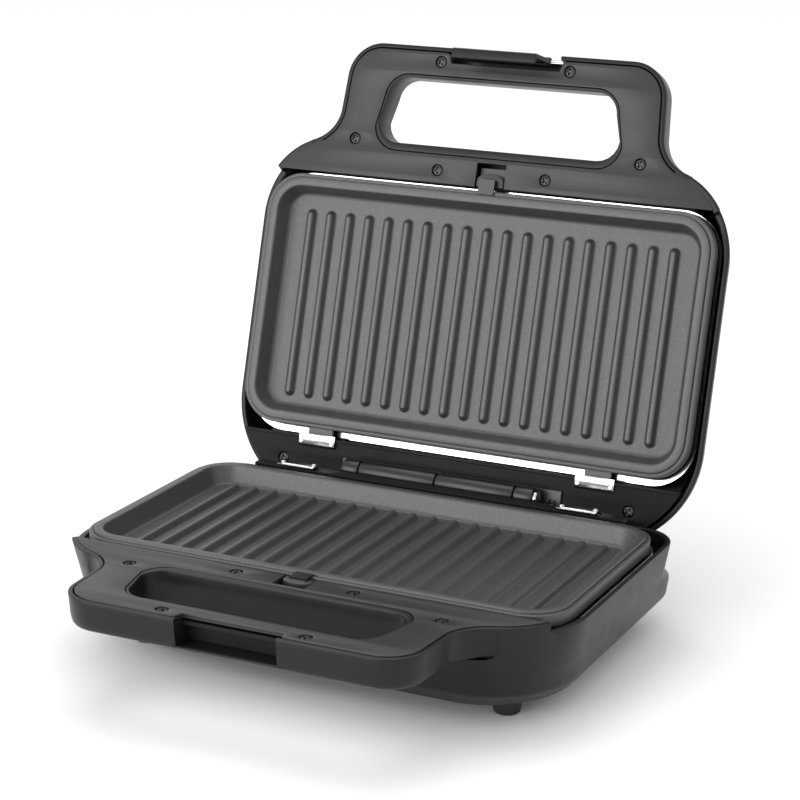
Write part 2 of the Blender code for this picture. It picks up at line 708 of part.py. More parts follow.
def controls(half):
    """Thermostat and thermal fuse under the base's pan, and the terminal block on the tub floor."""
    under = half.pan_floor - PAN_SHEET - CLEAR
    x, d = THERMOSTAT
    seat = under - THERMOSTAT_FLANGE
    thermostat = rod("thermostat", x, d, THERMOSTAT_RADIUS, seat, under, 12)
    join(thermostat, rod("body", x, d, THERMOSTAT_RADIUS - 2.0, under - THERMOSTAT_HEIGHT, seat + SINK, 12))
    mount(thermostat, half, "insulator", (x, d, under))
    fuse = bar("thermal_fuse", circle(FUSE_D, under - FUSE_RADIUS - 0.2, FUSE_RADIUS, 8), *FUSE_ENDS)
    mount(fuse, half, "insulator", (sum(FUSE_ENDS) / 2, FUSE_D, under))
    floor = -BASE_DEPTH + WALL + CLEAR
    blocks = block("terminal_block", TERMINAL_X, TERMINAL_D, (floor, floor + TERMINAL_HEIGHT))
    mount(blocks, half, "insulator", (sum(TERMINAL_X) / 2, sum(TERMINAL_D) / 2, floor))


# ---------------------------------------------------------------- grill plates

def plate(half):
    """Cast plate: skirted flange, raised lip, sloping wall, floor, ribs and two rear lugs."""
    def ring(inset):
        radius = max(PLATE_RADIUS - inset, 6.0)
        return rounded(PLATE_HALF - inset, PLATE_FRONT - inset, PLATE_REAR + inset,
                       (radius, radius), radius, 5)
    lip = half.rise
    lip_in = FLANGE_WIDTH + LIP_WIDTH
    floor_in = lip_in + PLATE_WALL_RUN
    floor = lip - PLATE_DEPTH
    body = loft(f"{half.name}_plate", [
        (ring(floor_in), floor),
        (ring(lip_in), lip),
        (ring(FLANGE_WIDTH), lip),
        (ring(FLANGE_WIDTH), lip - FLANGE_DROP),
        (ring(0.0), lip - FLANGE_DROP),
        (ring(0.0), lip - SKIRT_DROP),
        (ring(SKIRT_WALL), lip - SKIRT_DROP),
        (ring(SKIRT_WALL), lip - FLANGE_DROP - SKIRT_WALL),
        (ring(LIP_UNDERCUT), lip - LIP_SKIN),
        (ring(FLOOR_UNDERCUT), floor - PLATE_SKIN),
    ])
    front, rear = RIB_FRONT - RIB_HALF, RIB_REAR + RIB_HALF
    middle = (RIB_COUNT - 1) / 2
    for number in range(RIB_COUNT):
        x = (number - middle) * RIB_PITCH
        join(body, rib(x, front, rear, floor))
    for x in (-LUG_X, LUG_X):
        xs = (x - LUG_HALF, x + LUG_HALF)
        hs = (TILT_H - LUG_THICK / 2, TILT_H + LUG_THICK / 2)
        join(body, block("lug", xs, (LUG_TIP, PLATE_REAR + 1.0), hs))
    return mount(body, half, "coating", (0.0, TILT_D, TILT_H))


def rib(x, front, rear, floor):
    """Round-ended rib with sloping flanks."""
    def outline(radius):
        ends = arc((x, front), (radius, radius), 180, 0, 4)
        return ends + arc((x, rear), (radius, radius), 0, -180, 4)
    return loft("rib", [(outline(RIB_HALF), floor - SINK), (outline(RIB_ROOT_HALF), floor + RIB_ROOT),
                        (outline(RIB_TOP_HALF), floor + RIB_HEIGHT)])


def plate_clips(half):
    """Two steel clips that hold the plate's rear lugs down."""
    for side, word in ((-1, "left"), (1, "right")):
        x = side * LUG_X
        xs = (x - CLIP_HALF, x + CLIP_HALF)
        clip = block(f"{half.name}_plate_clip_{word}", xs, (CLIP_REAR, CLIP_TIP), (CLIP_LOW, CLIP_HIGH))
        join(clip, block("foot", xs, (CLIP_REAR, CLIP_FOOT_EDGE), (CLEAR, CLIP_LOW + CLEAR)))
        mount(clip, half, "bright_steel", (x, CLIP_FOOT_EDGE, CLEAR))


def release_button(half):
    """Sliding button in the cover's notch, and the sprung catch that it draws off the plate."""
    arch = arc((0.0, BUTTON_FRONT - BUTTON_ARCH), (BUTTON_HALF, BUTTON_ARCH), 0, 180, 6)
    outline = [(-BUTTON_HALF, BUTTON_REAR), (BUTTON_HALF, BUTTON_REAR)] + arch
    button = prism(f"{half.name}_release_button", outline, BUTTON_FOOT, BUTTON_TOP)
    xs = (-BUTTON_HALF, BUTTON_HALF)
    join(button, block("slide", xs, (BUTTON_REAR, SLIDE_FRONT), (SLIDE_FOOT, SLIDE_TOP)))
    seat = (0.0, COVER_REAR, BUTTON_FOOT)
    mount(button, half, "button_grey", seat)

    over = half.rise - FLANGE_DROP + CLEAR
    low = BUTTON_TOP + CLEAR
    xs = (-TONGUE_HALF, TONGUE_HALF)
    tongue = block(f"{half.name}_catch_tongue", xs, (TONGUE_TIP, TONGUE_ROOT[1]),
                   (over, over + TONGUE_THICK))
    if over > low + TONGUE_THICK:
        join(tongue, block("riser", xs, TONGUE_ROOT, (low, over + SINK)))
    mount(tongue, half, "shell_black", seat)


# ---------------------------------------------------------------- hinge, latch and fittings

def pin_circle(radius, sides):
    """Circle about the hinge pin's axis."""
    return circle(HINGE_D, HINGE_H, radius, sides)


def knuckle(name, start, end):
    """Sleeve round the pin."""
    sleeve = bar(name, pin_circle(BARREL_RADIUS, 16), start, end)
    return cut(sleeve, bar("bore", pin_circle(PIN_RADIUS + CLEAR, 10), start - OVERCUT, end + OVERCUT))


def base_hinge(half):
    """Bracket on the base's rear wall with the two end knuckles, and the pin."""
    a, b, _, c, e = KNUCKLES
    leaf_d = (BASE_REAR - CLEAR - LEAF_THICK, BASE_REAR - CLEAR)
    leaf = block("hinge_bracket", (a, e), leaf_d, (LEAF_FOOT, LEAF_TOP))
    for start, end in ((a, b - KNUCKLE_GAP / 2), (c + KNUCKLE_GAP / 2, e)):
        tab = block("tab", (start, end), leaf_d, (LEAF_TOP - OVERCUT, HINGE_H))
        cut(tab, bar("clear", pin_circle(TAB_BORE, 10), start - OVERCUT, end + OVERCUT))
        join(leaf, tab)
        join(leaf, knuckle("end", start, end))
    mount(leaf, half, "shell_black", (0.0, HINGE_D, HINGE_H))

    shoulder = e + CLEAR
    pin = bar("hinge_pin", pin_circle(PIN_RADIUS, 10), a + CLEAR, shoulder)
    join(pin, bar("head", pin_circle(PIN_HEAD_RADIUS, 12), shoulder, shoulder + PIN_HEAD))
    mount(pin, half, "bright_steel", (0.0, HINGE_D, HINGE_H))


def lid_hinge(half):
    """Two long sleeves with feet on the lid's rear strip, and the foot screw.

    They are drawn about the shut base's pin axis and then turned over into the lid's half frame.
    """
    _, a, b, c, _ = KNUCKLES
    top = PANEL_GAP - CLEAR
    x, d = HINGE_SCREW
    for word, start, end, tail in (("left", a, b, -LID_FOOT_END), ("right", b, c, LID_FOOT_END)):
        start, end = start + KNUCKLE_GAP / 2, end - KNUCKLE_GAP / 2
        sleeve = knuckle(f"lid_hinge_{word}", start, end)
        web = block("web", (start, end), WEB_D, (HINGE_H + WEB_SINK, top))
        xs = (tail, end) if tail < 0 else (start, tail)
        foot = block("foot", xs, LID_FOOT_D, (top - LID_FOOT_THICK, top))
        join(sleeve, web, foot)
        bore = pin_circle(PIN_RADIUS + CLEAR, 10)
        cut(sleeve, bar("bore", bore, -LID_FOOT_END - OVERCUT, LID_FOOT_END + OVERCUT))
        if tail > 0:
            cut(sleeve, rod("hole", x, d, SCREW_RADIUS + CLEAR, top - LID_FOOT_THICK - OVERCUT,
                            top + OVERCUT, 8))
        for vertex in sleeve.data.vertices:
            vertex.co.z = PANEL_GAP * MM - vertex.co.z
        sleeve.data.flip_normals()
        mount(sleeve, half, "shell_black", (0.0, HINGE_D, PANEL_GAP - HINGE_H))
    seat_radius, crown_radius = HINGE_SCREW_RADII
    seat = LID_FOOT_THICK + 2 * CLEAR
    head = rod("hinge_screw", x, d, seat_radius, seat, HINGE_SCREW_TOP, 12, crown_radius)
    join(head, rod("shank", x, d, SCREW_RADIUS - 0.2, CLEAR / 2, seat + SINK, 8))
    mount(head, half, "bright_steel", (x, d, seat))


def latch(half):
    """Flat latch blade on a pin in the lid's notch, with a hook along its free end."""
    inner = LATCH_D - LATCH_INNER
    outer = inner + LATCH_THICK
    top = LATCH_REACH
    hook, under = inner - HOOK_DEPTH, top - HOOK_THICK
    profile = [(inner, LATCH_H), (outer, LATCH_H), (outer, top - TIP_CHAMFER), (outer - TIP_CHAMFER, top),
               (hook, top), (hook, under + HOOK_CHAMFER), (hook + HOOK_CHAMFER, under), (inner, under)]
    blade = bar("latch", profile, -LATCH_HALF, LATCH_HALF)
    join(blade, bar("barrel", circle(LATCH_D, LATCH_H, LATCH_BARREL, 12), -LATCH_HALF, LATCH_HALF))
    bore = circle(LATCH_D, LATCH_H, LATCH_PIN_RADIUS + CLEAR, 8)
    cut(blade, bar("bore", bore, -LATCH_HALF - OVERCUT, LATCH_HALF + OVERCUT))
    mount(blade, half, "shell_black", (0.0, LATCH_D, LATCH_H))
    reach = LATCH_NOTCH + CHEEK
    pin = bar("latch_pin", circle(LATCH_D, LATCH_H, LATCH_PIN_RADIUS, 8), -reach, reach)
    mount(pin, half, "bright_steel", (0.0, LATCH_D, LATCH_H))


def feet(half):
    """Four tapered rubber feet, each with a flat sole to stand on."""
    top = -BASE_DEPTH - CLEAR
    floor = -BASE_DEPTH - FOOT_HEIGHT
    for end, d in (("front", FOOT_FRONT_D), ("rear", FOOT_REAR_D)):
        for side, x in (("left", -FOOT_X), ("right", FOOT_X)):
            rings = [(arc((x, d), (r, r), 11.25, 348.75, 15), h)
                     for r, h in ((FOOT_SOLE_RADIUS, floor), (FOOT_EDGE_RADIUS, floor + FOOT_EDGE),
                                  (FOOT_RADIUS, top))]
            mount(loft(f"foot_{end}_{side}", rings), half, "rubber", (x, d, floor))


def gland(half):
    """Bushing in the rear wall where the mains lead enters."""
    start = BASE_LOW_REAR - GLAND_PROUD
    end = start + GLAND_LENGTH
    body = along_d("cord_gland", upright_ring(GLAND_RADIUS), start, end)
    rim = upright_ring(GLAND_RADIUS + GLAND_FLANGE)
    join(body, along_d("flange", rim, start, BASE_LOW_REAR - 2 * CLEAR))
    cut(body, along_d("bore", upright_ring(GLAND_BORE, 10), start - OVERCUT, end + OVERCUT))
    mount(body, half, "rubber", (GLAND_X, BASE_LOW_REAR, GLAND_H))


def lenses(half):
    """Two domed lamp lenses in the lid's crown."""
    for word, x, finish in (("power", -LENS_X, "lens_red"), ("ready", LENS_X, "lens_green")):
        top = -LID_DEPTH - LENS_PROUD
        crown = top + LENS_CROWN
        lens = rod(f"{word}_lens", x, LENS_D, LENS_RADIUS - LENS_CROWN, top, crown, 12, LENS_RADIUS)
        join(lens, rod("stem", x, LENS_D, LENS_RADIUS, crown - 0.1, top + LENS_LENGTH, 12))
        mount(lens, half, finish, (x, LENS_D, top))


# ---------------------------------------------------------------- assembly

def build_half(half):
    """What the base and the lid have in common."""
    housing(half)
    handle_cover(half)
    cover_screws(half)
    reflector(half)
    element(half)
    plate(half)
    plate_clips(half)
    release_button(half)


def main():
    """Build the press, open, its feet on the ground and its box centred over the origin."""
    for thing in list(bpy.data.objects):
        bpy.data.objects.remove(thing)
    press = bpy.data.objects.new("press_frame", None)
    hinge = bpy.data.objects.new("lid_hinge_axis", None)
    for empty in (press, hinge):
        bpy.context.scene.collection.objects.link(empty)
    hinge.parent = press
    hinge.location = Vector((0.0, -HINGE_D, HINGE_H)) * MM
    hinge.rotation_euler.x = -math.radians(OPEN_ANGLE)

    base = Half("base", False, PLATE_RISE_BASE, PAN_FLOOR_BASE, press)
    lid = Half("lid", True, PLATE_RISE_LID, PAN_FLOOR_LID, hinge)
    build_half(base)
    base_strip(base)
    controls(base)
    base_hinge(base)
    feet(base)
    gland(base)
    build_half(lid)
    lid_strip(lid)
    lid_hinge(lid)
    latch(lid)
    lenses(lid)

    bpy.context.view_layer.update()
    corners = [thing.matrix_world @ vertex.co for thing in bpy.data.objects if thing.type == "MESH"
               for vertex in thing.data.vertices]
    low = min(corner.y for corner in corners)
    high = max(corner.y for corner in corners)
    press.location = (0.0, -(low + high) / 2, (BASE_DEPTH + FOOT_HEIGHT) * MM)


main()
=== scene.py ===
"""Panini press, shown open: the fine surfaces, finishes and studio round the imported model.

Both halves are drawn in a half frame, in millimetres: x runs along the hinge, d from the hinge
towards the handle, and h rises from the half's inner panel plane towards the other half. A Half
turns such points into metres in the model's own frame, shut flat for the base and swung open
about the hinge pin for the lid.
"""

import json
import logging
import math
from dataclasses import dataclass, field
from enum import Enum

import bmesh
import bpy
import numpy as np
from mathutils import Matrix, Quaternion, Vector


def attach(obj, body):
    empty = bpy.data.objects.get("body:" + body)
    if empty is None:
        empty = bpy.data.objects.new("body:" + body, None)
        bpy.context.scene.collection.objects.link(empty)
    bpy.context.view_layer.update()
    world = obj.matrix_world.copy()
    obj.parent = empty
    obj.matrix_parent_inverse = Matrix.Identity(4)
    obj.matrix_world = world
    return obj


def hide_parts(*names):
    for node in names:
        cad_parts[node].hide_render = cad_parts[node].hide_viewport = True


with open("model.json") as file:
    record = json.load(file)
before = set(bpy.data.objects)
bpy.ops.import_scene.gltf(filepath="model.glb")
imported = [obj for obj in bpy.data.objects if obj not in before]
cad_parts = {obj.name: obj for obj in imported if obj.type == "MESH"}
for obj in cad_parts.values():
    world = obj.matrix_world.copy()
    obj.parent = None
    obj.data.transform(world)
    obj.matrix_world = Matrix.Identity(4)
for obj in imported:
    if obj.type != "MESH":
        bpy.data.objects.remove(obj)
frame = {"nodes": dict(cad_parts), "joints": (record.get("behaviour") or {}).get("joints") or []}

LOG = logging.getLogger("panini_press")
MM = 0.001
CLEAR = 0.3
SCREW_SEAT = 3.6                # radius of the recess round a screw head
SCREW_HOLE = 1.8
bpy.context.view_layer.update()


class Side(Enum):
    """The two halves of the press."""

    BASE = "base"
    LID = "lid"


PLATE_RISE = {Side.BASE: 1.0, Side.LID: 4.0}        # of a plate's lip above its panel plane
PAN_FLOOR = {Side.BASE: -26.0, Side.LID: -20.0}


@dataclass(frozen=True)
class Half:
    """Where one half stands.

    The hinge pin is at (pin_d, pin_h) in the shut base's half frame, and at (pin_y, pin_z) in the
    model's frame, in millimetres. turn is how far the half is swung open, in radians.
    """

    side: Side
    pin_y: float
    pin_z: float
    turn: float
    pin_d: float = 3.0
    pin_h: float = -1.03
    panel_gap: float = 8.0

    @property
    def name(self) -> str:
        """The first word of every piece on this half."""
        return self.side.value

    @property
    def is_lid(self) -> bool:
        """Whether this is the half that swings."""
        return self.side is Side.LID

    def place(self, points: np.ndarray) -> np.ndarray:
        """Half-frame points as metres in the model's frame: a turn about the hinge pin.

        Args:
            points: an array that ends in (x, d, h).

        Returns:
            An array of the same shape that ends in (x, y, z).
        """
        x, d, h = np.moveaxis(np.asarray(points, float), -1, 0)
        out = self.pin_d - d
        up = (self.panel_gap - h if self.is_lid else h) - self.pin_h
        y = self.pin_y + out * math.cos(self.turn) + up * math.sin(self.turn)
        z = self.pin_z - out * math.sin(self.turn) + up * math.cos(self.turn)
        return np.stack([x, y, z], -1) * MM


# ---------------------------------------------------------------- shader groups and finishes

class Shader:
    """A short way to place nodes in one node tree."""

    def __init__(self, tree: bpy.types.NodeTree) -> None:
        """Keep the tree."""
        self.tree = tree

    def node(self, kind: str, inputs: dict | None = None, **settings: object) -> bpy.types.Node:
        """Add a node.

        Args:
            kind: the node's class, without its ShaderNode prefix.
            inputs: socket name or number to a value, or to the output socket that feeds it.
            settings: the node's own properties.

        Returns:
            The new node.
        """
        new = self.tree.nodes.new("ShaderNode" + kind)
        for key, value in settings.items():
            setattr(new, key, value)
        for key, value in (inputs or {}).items():
            if isinstance(value, bpy.types.NodeSocket):
                self.tree.links.new(value, new.inputs[key])
            else:
                new.inputs[key].default_value = value
        return new

    def math(self, operation: str, *values: object) -> bpy.types.NodeSocket:
        """The output of a Math node."""
        return self.node("Math", dict(enumerate(values)), operation=operation).outputs[0]

    def noise(self, vector: bpy.types.NodeSocket, scale: object, detail: float = 2.0) -> bpy.types.NodeSocket:
        """The value of a Noise Texture, from 0 to 1."""
        return self.node("TexNoise", {"Vector": vector, "Scale": scale, "Detail": detail}).outputs[0]

    def spread(self, value: bpy.types.NodeSocket, lows: tuple, highs: tuple) -> bpy.types.NodeSocket:
        """Map a value from the range lows to the range highs, clamped."""
        sockets = {"Value": value, "From Min": lows[0], "From Max": lows[1],
                   "To Min": highs[0], "To Max": highs[1]}
        return self.node("MapRange", sockets).outputs[0]

    def blend(self, share: object, first: object, second: object) -> bpy.types.NodeSocket:
        """Mix two colours."""
        mix = self.node("Mix", data_type="RGBA")
        for number, value in ((0, share), (6, first), (7, second)):
            if isinstance(value, bpy.types.NodeSocket):
                self.tree.links.new(value, mix.inputs[number])
            else:
                mix.inputs[number].default_value = value
        return mix.outputs[2]


def new_group(name: str, inputs: dict, outputs: tuple) -> tuple:
    """An empty shader node group.

    Args:
        name: the group's name.
        inputs: input name to its default number. Vector is always there as well.
        outputs: names of the number outputs.

    Returns:
        The group's tree, its Shader, its input node and its output node.
    """
    tree = bpy.data.node_groups.new(name, "ShaderNodeTree")
    tree.interface.new_socket("Vector", in_out="INPUT", socket_type="NodeSocketVector")
    for key, value in inputs.items():
        tree.interface.new_socket(key, in_out="INPUT", socket_type="NodeSocketFloat").default_value = value
    for key in outputs:
        tree.interface.new_socket(key, in_out="OUTPUT", socket_type="NodeSocketFloat")
    return tree, Shader(tree), tree.nodes.new("NodeGroupInput"), tree.nodes.new("NodeGroupOutput")


def grain_group() -> bpy.types.NodeTree:
    """Fine leathery texture of a spark-eroded mould: cells softened by noise."""
    tree, shader, feed, result = new_group("moulded_grain", {"Scale": 1800.0}, ("Height",))
    cells = shader.node("TexVoronoi", {"Vector": feed.outputs["Vector"], "Scale": feed.outputs["Scale"]},
                        feature="SMOOTH_F1")
    soft = shader.noise(feed.outputs["Vector"], feed.outputs["Scale"], 3.0)
    tree.links.new(shader.math("MULTIPLY_ADD", cells.outputs["Distance"], 0.6, soft), result.inputs["Height"])
    return tree


def handling_group() -> bpy.types.NodeTree:
    """Slow clouds and faint smudges left by hands and cloths."""
    tree, shader, feed, result = new_group("handling", {"Scale": 14.0}, ("Cloud", "Smudge"))
    cloud = shader.noise(feed.outputs["Vector"], feed.outputs["Scale"], 3.0)
    fine = shader.math("MULTIPLY", feed.outputs["Scale"], 4.3)
    smudge = shader.spread(shader.noise(feed.outputs["Vector"], fine, 5.0), (0.52, 0.72), (0.0, 1.0))
    tree.links.new(cloud, result.inputs["Cloud"])
    tree.links.new(smudge, result.inputs["Smudge"])
    return tree


def fleck_group() -> bpy.types.NodeTree:
    """Fine mineral flecks of a non-stick coating, in a sprayed orange-peel skin."""
    tree, shader, feed, result = new_group("coating_flecks", {"Scale": 3000.0, "Share": 0.12},
                                           ("Fleck", "Height"))
    cells = shader.node("TexVoronoi", {"Vector": feed.outputs["Vector"], "Scale": feed.outputs["Scale"]})
    tone = shader.node("SeparateColor", {0: cells.outputs["Color"]}).outputs[0]
    fleck = shader.math("LESS_THAN", tone, feed.outputs["Share"])
    peel = shader.noise(feed.outputs["Vector"], shader.math("MULTIPLY", feed.outputs["Scale"], 0.55), 2.0)
    tree.links.new(fleck, result.inputs["Fleck"])
    tree.links.new(shader.math("MULTIPLY_ADD", tone, 0.35, peel), result.inputs["Height"])
    return tree


GROUPS: dict[str, bpy.types.NodeTree] = {}


def shared(name: str) -> bpy.types.NodeTree:
    """One of the shader groups, built the first time that it is asked for."""
    makers = {"grain": grain_group, "handling": handling_group, "flecks": fleck_group}
    if name not in GROUPS:
        GROUPS[name] = makers[name]()
    return GROUPS[name]


def shade(colour: tuple, factor: float) -> tuple:
    """A colour made darker or lighter, with full alpha."""
    return tuple(min(channel * factor, 1.0) for channel in colour) + (1.0,)


class Finish:
    """What every finish shares: a material with a Principled BSDF and object coordinates."""

    name: str

    def start(self) -> tuple:
        """A new material, its Shader, its Principled BSDF and its object coordinates."""
        material = bpy.data.materials.new(self.name)
        material.use_nodes = True
        shader = Shader(material.node_tree)
        principled = material.node_tree.nodes["Principled BSDF"]
        place = shader.node("TexCoord").outputs["Object"]
        return material, shader, principled, place

    def group(self, shader: Shader, name: str, place: bpy.types.NodeSocket,
              **inputs: float) -> bpy.types.Node:
        """Place a shared group in a material."""
        node = shader.node("Group", node_tree=shared(name))
        shader.tree.links.new(place, node.inputs["Vector"])
        for key, value in inputs.items():
            node.inputs[key].default_value = value
        return node

    def bump(self, shader: Shader, principled: bpy.types.Node, height: bpy.types.NodeSocket,
             strength: float, depth: float) -> None:
        """Feed a height through a Bump node; depth is in metres."""
        bump = shader.node("Bump", {"Height": height, "Strength": strength, "Distance": depth})
        shader.tree.links.new(bump.outputs[0], principled.inputs["Normal"])


@dataclass(frozen=True)
class Plastic(Finish):
    """Moulded plastic: an even colour with faint clouds, a spark-eroded grain and hand marks."""

    name: str
    colour: tuple
    roughness: float = 0.4
    grain: float = 0.25
    grain_scale: float = 1800.0
    metallic: float = 0.0
    specular: float = 0.5
    clouds: tuple = (0.86, 1.16)
    wear: float = 0.07
    grain_depth: float = 0.00012

    def make(self) -> bpy.types.Material:
        """Build the material."""
        material, shader, principled, place = self.start()
        marks = self.group(shader, "handling", place)
        dark, light = (shade(self.colour, factor) for factor in self.clouds)
        colour = shader.blend(marks.outputs["Cloud"], dark, light)
        rough = shader.spread(marks.outputs["Smudge"], (0.0, 1.0),
                              (self.roughness, self.roughness + self.wear))
        shader.tree.links.new(colour, principled.inputs["Base Color"])
        shader.tree.links.new(rough, principled.inputs["Roughness"])
        principled.inputs["Metallic"].default_value = self.metallic
        principled.inputs["Specular IOR Level"].default_value = self.specular
        grain = self.group(shader, "grain", place, Scale=self.grain_scale)
        self.bump(shader, principled, grain.outputs["Height"], self.grain, self.grain_depth)
        return material


@dataclass(frozen=True)
class Coating(Finish):
    """Dark non-stick coating with faint fine flecks over cast aluminium."""

    name: str
    colour: tuple
    fleck: tuple
    roughness: float = 0.46
    fleck_gloss: float = 0.14
    metallic: tuple = (0.03, 0.15)
    specular: float = 0.8
    fleck_scale: float = 5500.0
    clouds: tuple = (0.9, 1.12)
    peel: float = 0.12
    peel_depth: float = 0.00010

    def make(self) -> bpy.types.Material:
        """Build the material."""
        material, shader, principled, place = self.start()
        marks = self.group(shader, "handling", place, Scale=9.0)
        flecks = self.group(shader, "flecks", place, Scale=self.fleck_scale)
        dark, light = (shade(self.colour, factor) for factor in self.clouds)
        base = shader.blend(marks.outputs["Cloud"], dark, light)
        colour = shader.blend(flecks.outputs["Fleck"], base, (*self.fleck, 1.0))
        rough = shader.spread(flecks.outputs["Fleck"], (0.0, 1.0),
                              (self.roughness, self.roughness - self.fleck_gloss))
        metal = shader.spread(flecks.outputs["Fleck"], (0.0, 1.0), self.metallic)
        shader.tree.links.new(colour, principled.inputs["Base Color"])
        shader.tree.links.new(rough, principled.inputs["Roughness"])
        shader.tree.links.new(metal, principled.inputs["Metallic"])
        principled.inputs["Specular IOR Level"].default_value = self.specular
        self.bump(shader, principled, flecks.outputs["Height"], self.peel, self.peel_depth)
        return material


@dataclass(frozen=True)
class Metal(Finish):
    """Rolled or plated steel: fine drawn lines along one axis, and slow tarnish clouds."""

    name: str
    colour: tuple
    roughness: float = 0.2
    tarnish: tuple = (0.45, 0.43, 0.40)
    lines: tuple = (60.0, 1600.0, 1600.0)
    tarnish_share: float = 0.35
    gloss: tuple = (0.8, 1.3)
    line_depth: float = 0.00004

    def make(self) -> bpy.types.Material:
        """Build the material."""
        material, shader, principled, place = self.start()
        marks = self.group(shader, "handling", place, Scale=22.0)
        colour = shader.blend(shader.math("MULTIPLY", marks.outputs["Smudge"], self.tarnish_share),
                              (*self.colour, 1.0), (*self.tarnish, 1.0))
        stretched = shader.node("Mapping", {"Vector": place, "Scale": self.lines}).outputs[0]
        drawn = shader.noise(stretched, 1.0, 2.0)
        rough = shader.spread(drawn, (0.3, 0.7), tuple(self.roughness * part for part in self.gloss))
        shader.tree.links.new(colour, principled.inputs["Base Color"])
        shader.tree.links.new(rough, principled.inputs["Roughness"])
        principled.inputs["Metallic"].default_value = 1.0
        self.bump(shader, principled, drawn, 0.12, self.line_depth)
        return material


@dataclass(frozen=True)
class Lens(Finish):
    """Clear coloured plastic over an indicator lamp."""

    name: str
    colour: tuple

    def make(self) -> bpy.types.Material:
        """Build the material."""
        material, shader, principled, place = self.start()
        cloud = shader.noise(place, 240.0)
        colour = shader.blend(cloud, shade(self.colour, 0.7), shade(self.colour, 1.0))
        shader.tree.links.new(colour, principled.inputs["Base Color"])
        principled.inputs["Roughness"].default_value = 0.12
        principled.inputs["Coat Weight"].default_value = 0.6
        return material


FINISHES = {
    "shell": Plastic("black_shell", (0.006, 0.006, 0.0064), 0.36, 0.14, specular=0.3),
    "cover": Plastic("satin_grey_cover", (0.016, 0.016, 0.0165), 0.42, 0.14, 2300.0, 0.02),
    "strip": Plastic("black_strip", (0.008, 0.008, 0.0085), 0.50, 0.12, specular=0.18),
    "hinge": Plastic("black_hinge", (0.007, 0.007, 0.0075), 0.30, 0.08),
    "button": Plastic("button_grey", (0.030, 0.030, 0.031), 0.38, 0.14, 2300.0),
    "rubber": Plastic("foot_rubber", (0.014, 0.014, 0.014), 0.70, 0.35, 900.0),
    "insulator": Plastic("insulator_cream", (0.60, 0.58, 0.52), 0.60, 0.10),
    "coating": Coating("nonstick_coating", (0.035, 0.035, 0.0355), (0.10, 0.10, 0.103)),
    "steel": Metal("bright_steel", (0.66, 0.66, 0.67), 0.16),
    "pan": Metal("polished_pan", (0.86, 0.86, 0.86), 0.14, (0.70, 0.68, 0.64), (900.0, 60.0, 900.0)),
    "screw": Metal("screw_steel", (0.06, 0.06, 0.062), 0.30, (0.03, 0.03, 0.03)),
    "heater": Metal("oxidised_sheath", (0.12, 0.11, 0.10), 0.42, (0.06, 0.05, 0.05)),
    "red": Lens("red_lens", (0.45, 0.015, 0.01)),
    "green": Lens("green_lens", (0.02, 0.30, 0.04)),
}
MADE: dict[str, bpy.types.Material] = {}


def material(finish: str) -> bpy.types.Material:
    """The material of a finish, built the first time that it is asked for."""
    if finish not in MADE:
        MADE[finish] = FINISHES[finish].make()
    return MADE[finish]


# ---------------------------------------------------------------- outlines and surfaces

def arc(centre: tuple, radii: tuple, start: float, end: float, count: int) -> np.ndarray:
    """Points on an ellipse: the centre plus the radii times cosine and sine, angles in degrees."""
    turns = np.radians(np.linspace(start, end, count))
    return np.stack([centre[0] + radii[0] * np.cos(turns), centre[1] + radii[1] * np.sin(turns)], -1)


def line(start: tuple, end: tuple, count: int) -> np.ndarray:
    """Evenly spaced points from start to end, both included."""
    return np.linspace(start, end, count)


def bend(start: tuple, corner: tuple, end: tuple, count: int) -> np.ndarray:
    """A quadratic curve that leaves start towards corner and arrives at end from it."""
    t = np.linspace(0.0, 1.0, count)[:, None]
    first, middle, last = (np.asarray(p, float) for p in (start, corner, end))
    return (1 - t) ** 2 * first + 2 * t * (1 - t) * middle + t ** 2 * last


def mirrored(right: np.ndarray) -> np.ndarray:
    """A closed outline from its right-hand half, whose first and last points lie on the middle line."""
    left = right[::-1][1:-1] * np.array([-1.0, 1.0])
    return np.concatenate([right, left])


def doubled(right: np.ndarray) -> np.ndarray:
    """A closed outline from its right-hand half, none of whose points lie on the middle line."""
    return np.concatenate([right, right[::-1] * np.array([-1.0, 1.0])])


def rounded(wide: float, front: float, rear: float, radius: float, count: int) -> np.ndarray:
    """A closed outline with four round corners, each of count points."""
    ahead = arc((wide - radius, front - radius), (radius, radius), 90, 0, count)
    behind = arc((wide - radius, rear + radius), (radius, radius), 0, -90, count)
    return doubled(np.concatenate([ahead, behind]))


def round_holes(places: list, radius: float, count: int) -> list:
    """Round outlines about the given places."""
    return [arc(place, (radius, radius), 0, 360 - 360 / count, count) for place in places]


def grown(outline: np.ndarray, inset: object) -> np.ndarray:
    """An open or closed outline moved to its inner side by inset, along its own normals.

    The outline runs with its inside on its right, so the normal is the tangent turned clockwise.
    """
    run = np.roll(outline, -1, 0) - np.roll(outline, 1, 0)
    run /= np.linalg.norm(run, axis=1, keepdims=True)
    inside = np.stack([run[:, 1], -run[:, 0]], -1)
    return outline + inside * np.broadcast_to(np.asarray(inset, float), len(outline))[:, None]


def rings(levels: list) -> np.ndarray:
    """Stack outlines with their heights, a number or one per point, into an array of 3-D rings."""
    stacked = []
    for outline, height in levels:
        heights = np.broadcast_to(np.asarray(height, float), len(outline))
        stacked.append(np.column_stack([outline, heights]))
    return np.array(stacked)


def ring_faces(rows: int, count: int, closed: bool) -> list:
    """Faces of a stack of closed rings, joined end to start if closed, else capped at both ends."""
    spans = np.arange(rows if closed else rows - 1)[:, None]
    near = np.arange(count)[None, :]
    far = (near + 1) % count
    above = (spans + 1) % rows
    quads = np.stack([spans * count + near, spans * count + far, above * count + far,
                      above * count + near], -1).reshape(-1, 4).tolist()
    if not closed:
        quads += [list(range(count)), list(range((rows - 1) * count, rows * count))]
    return quads


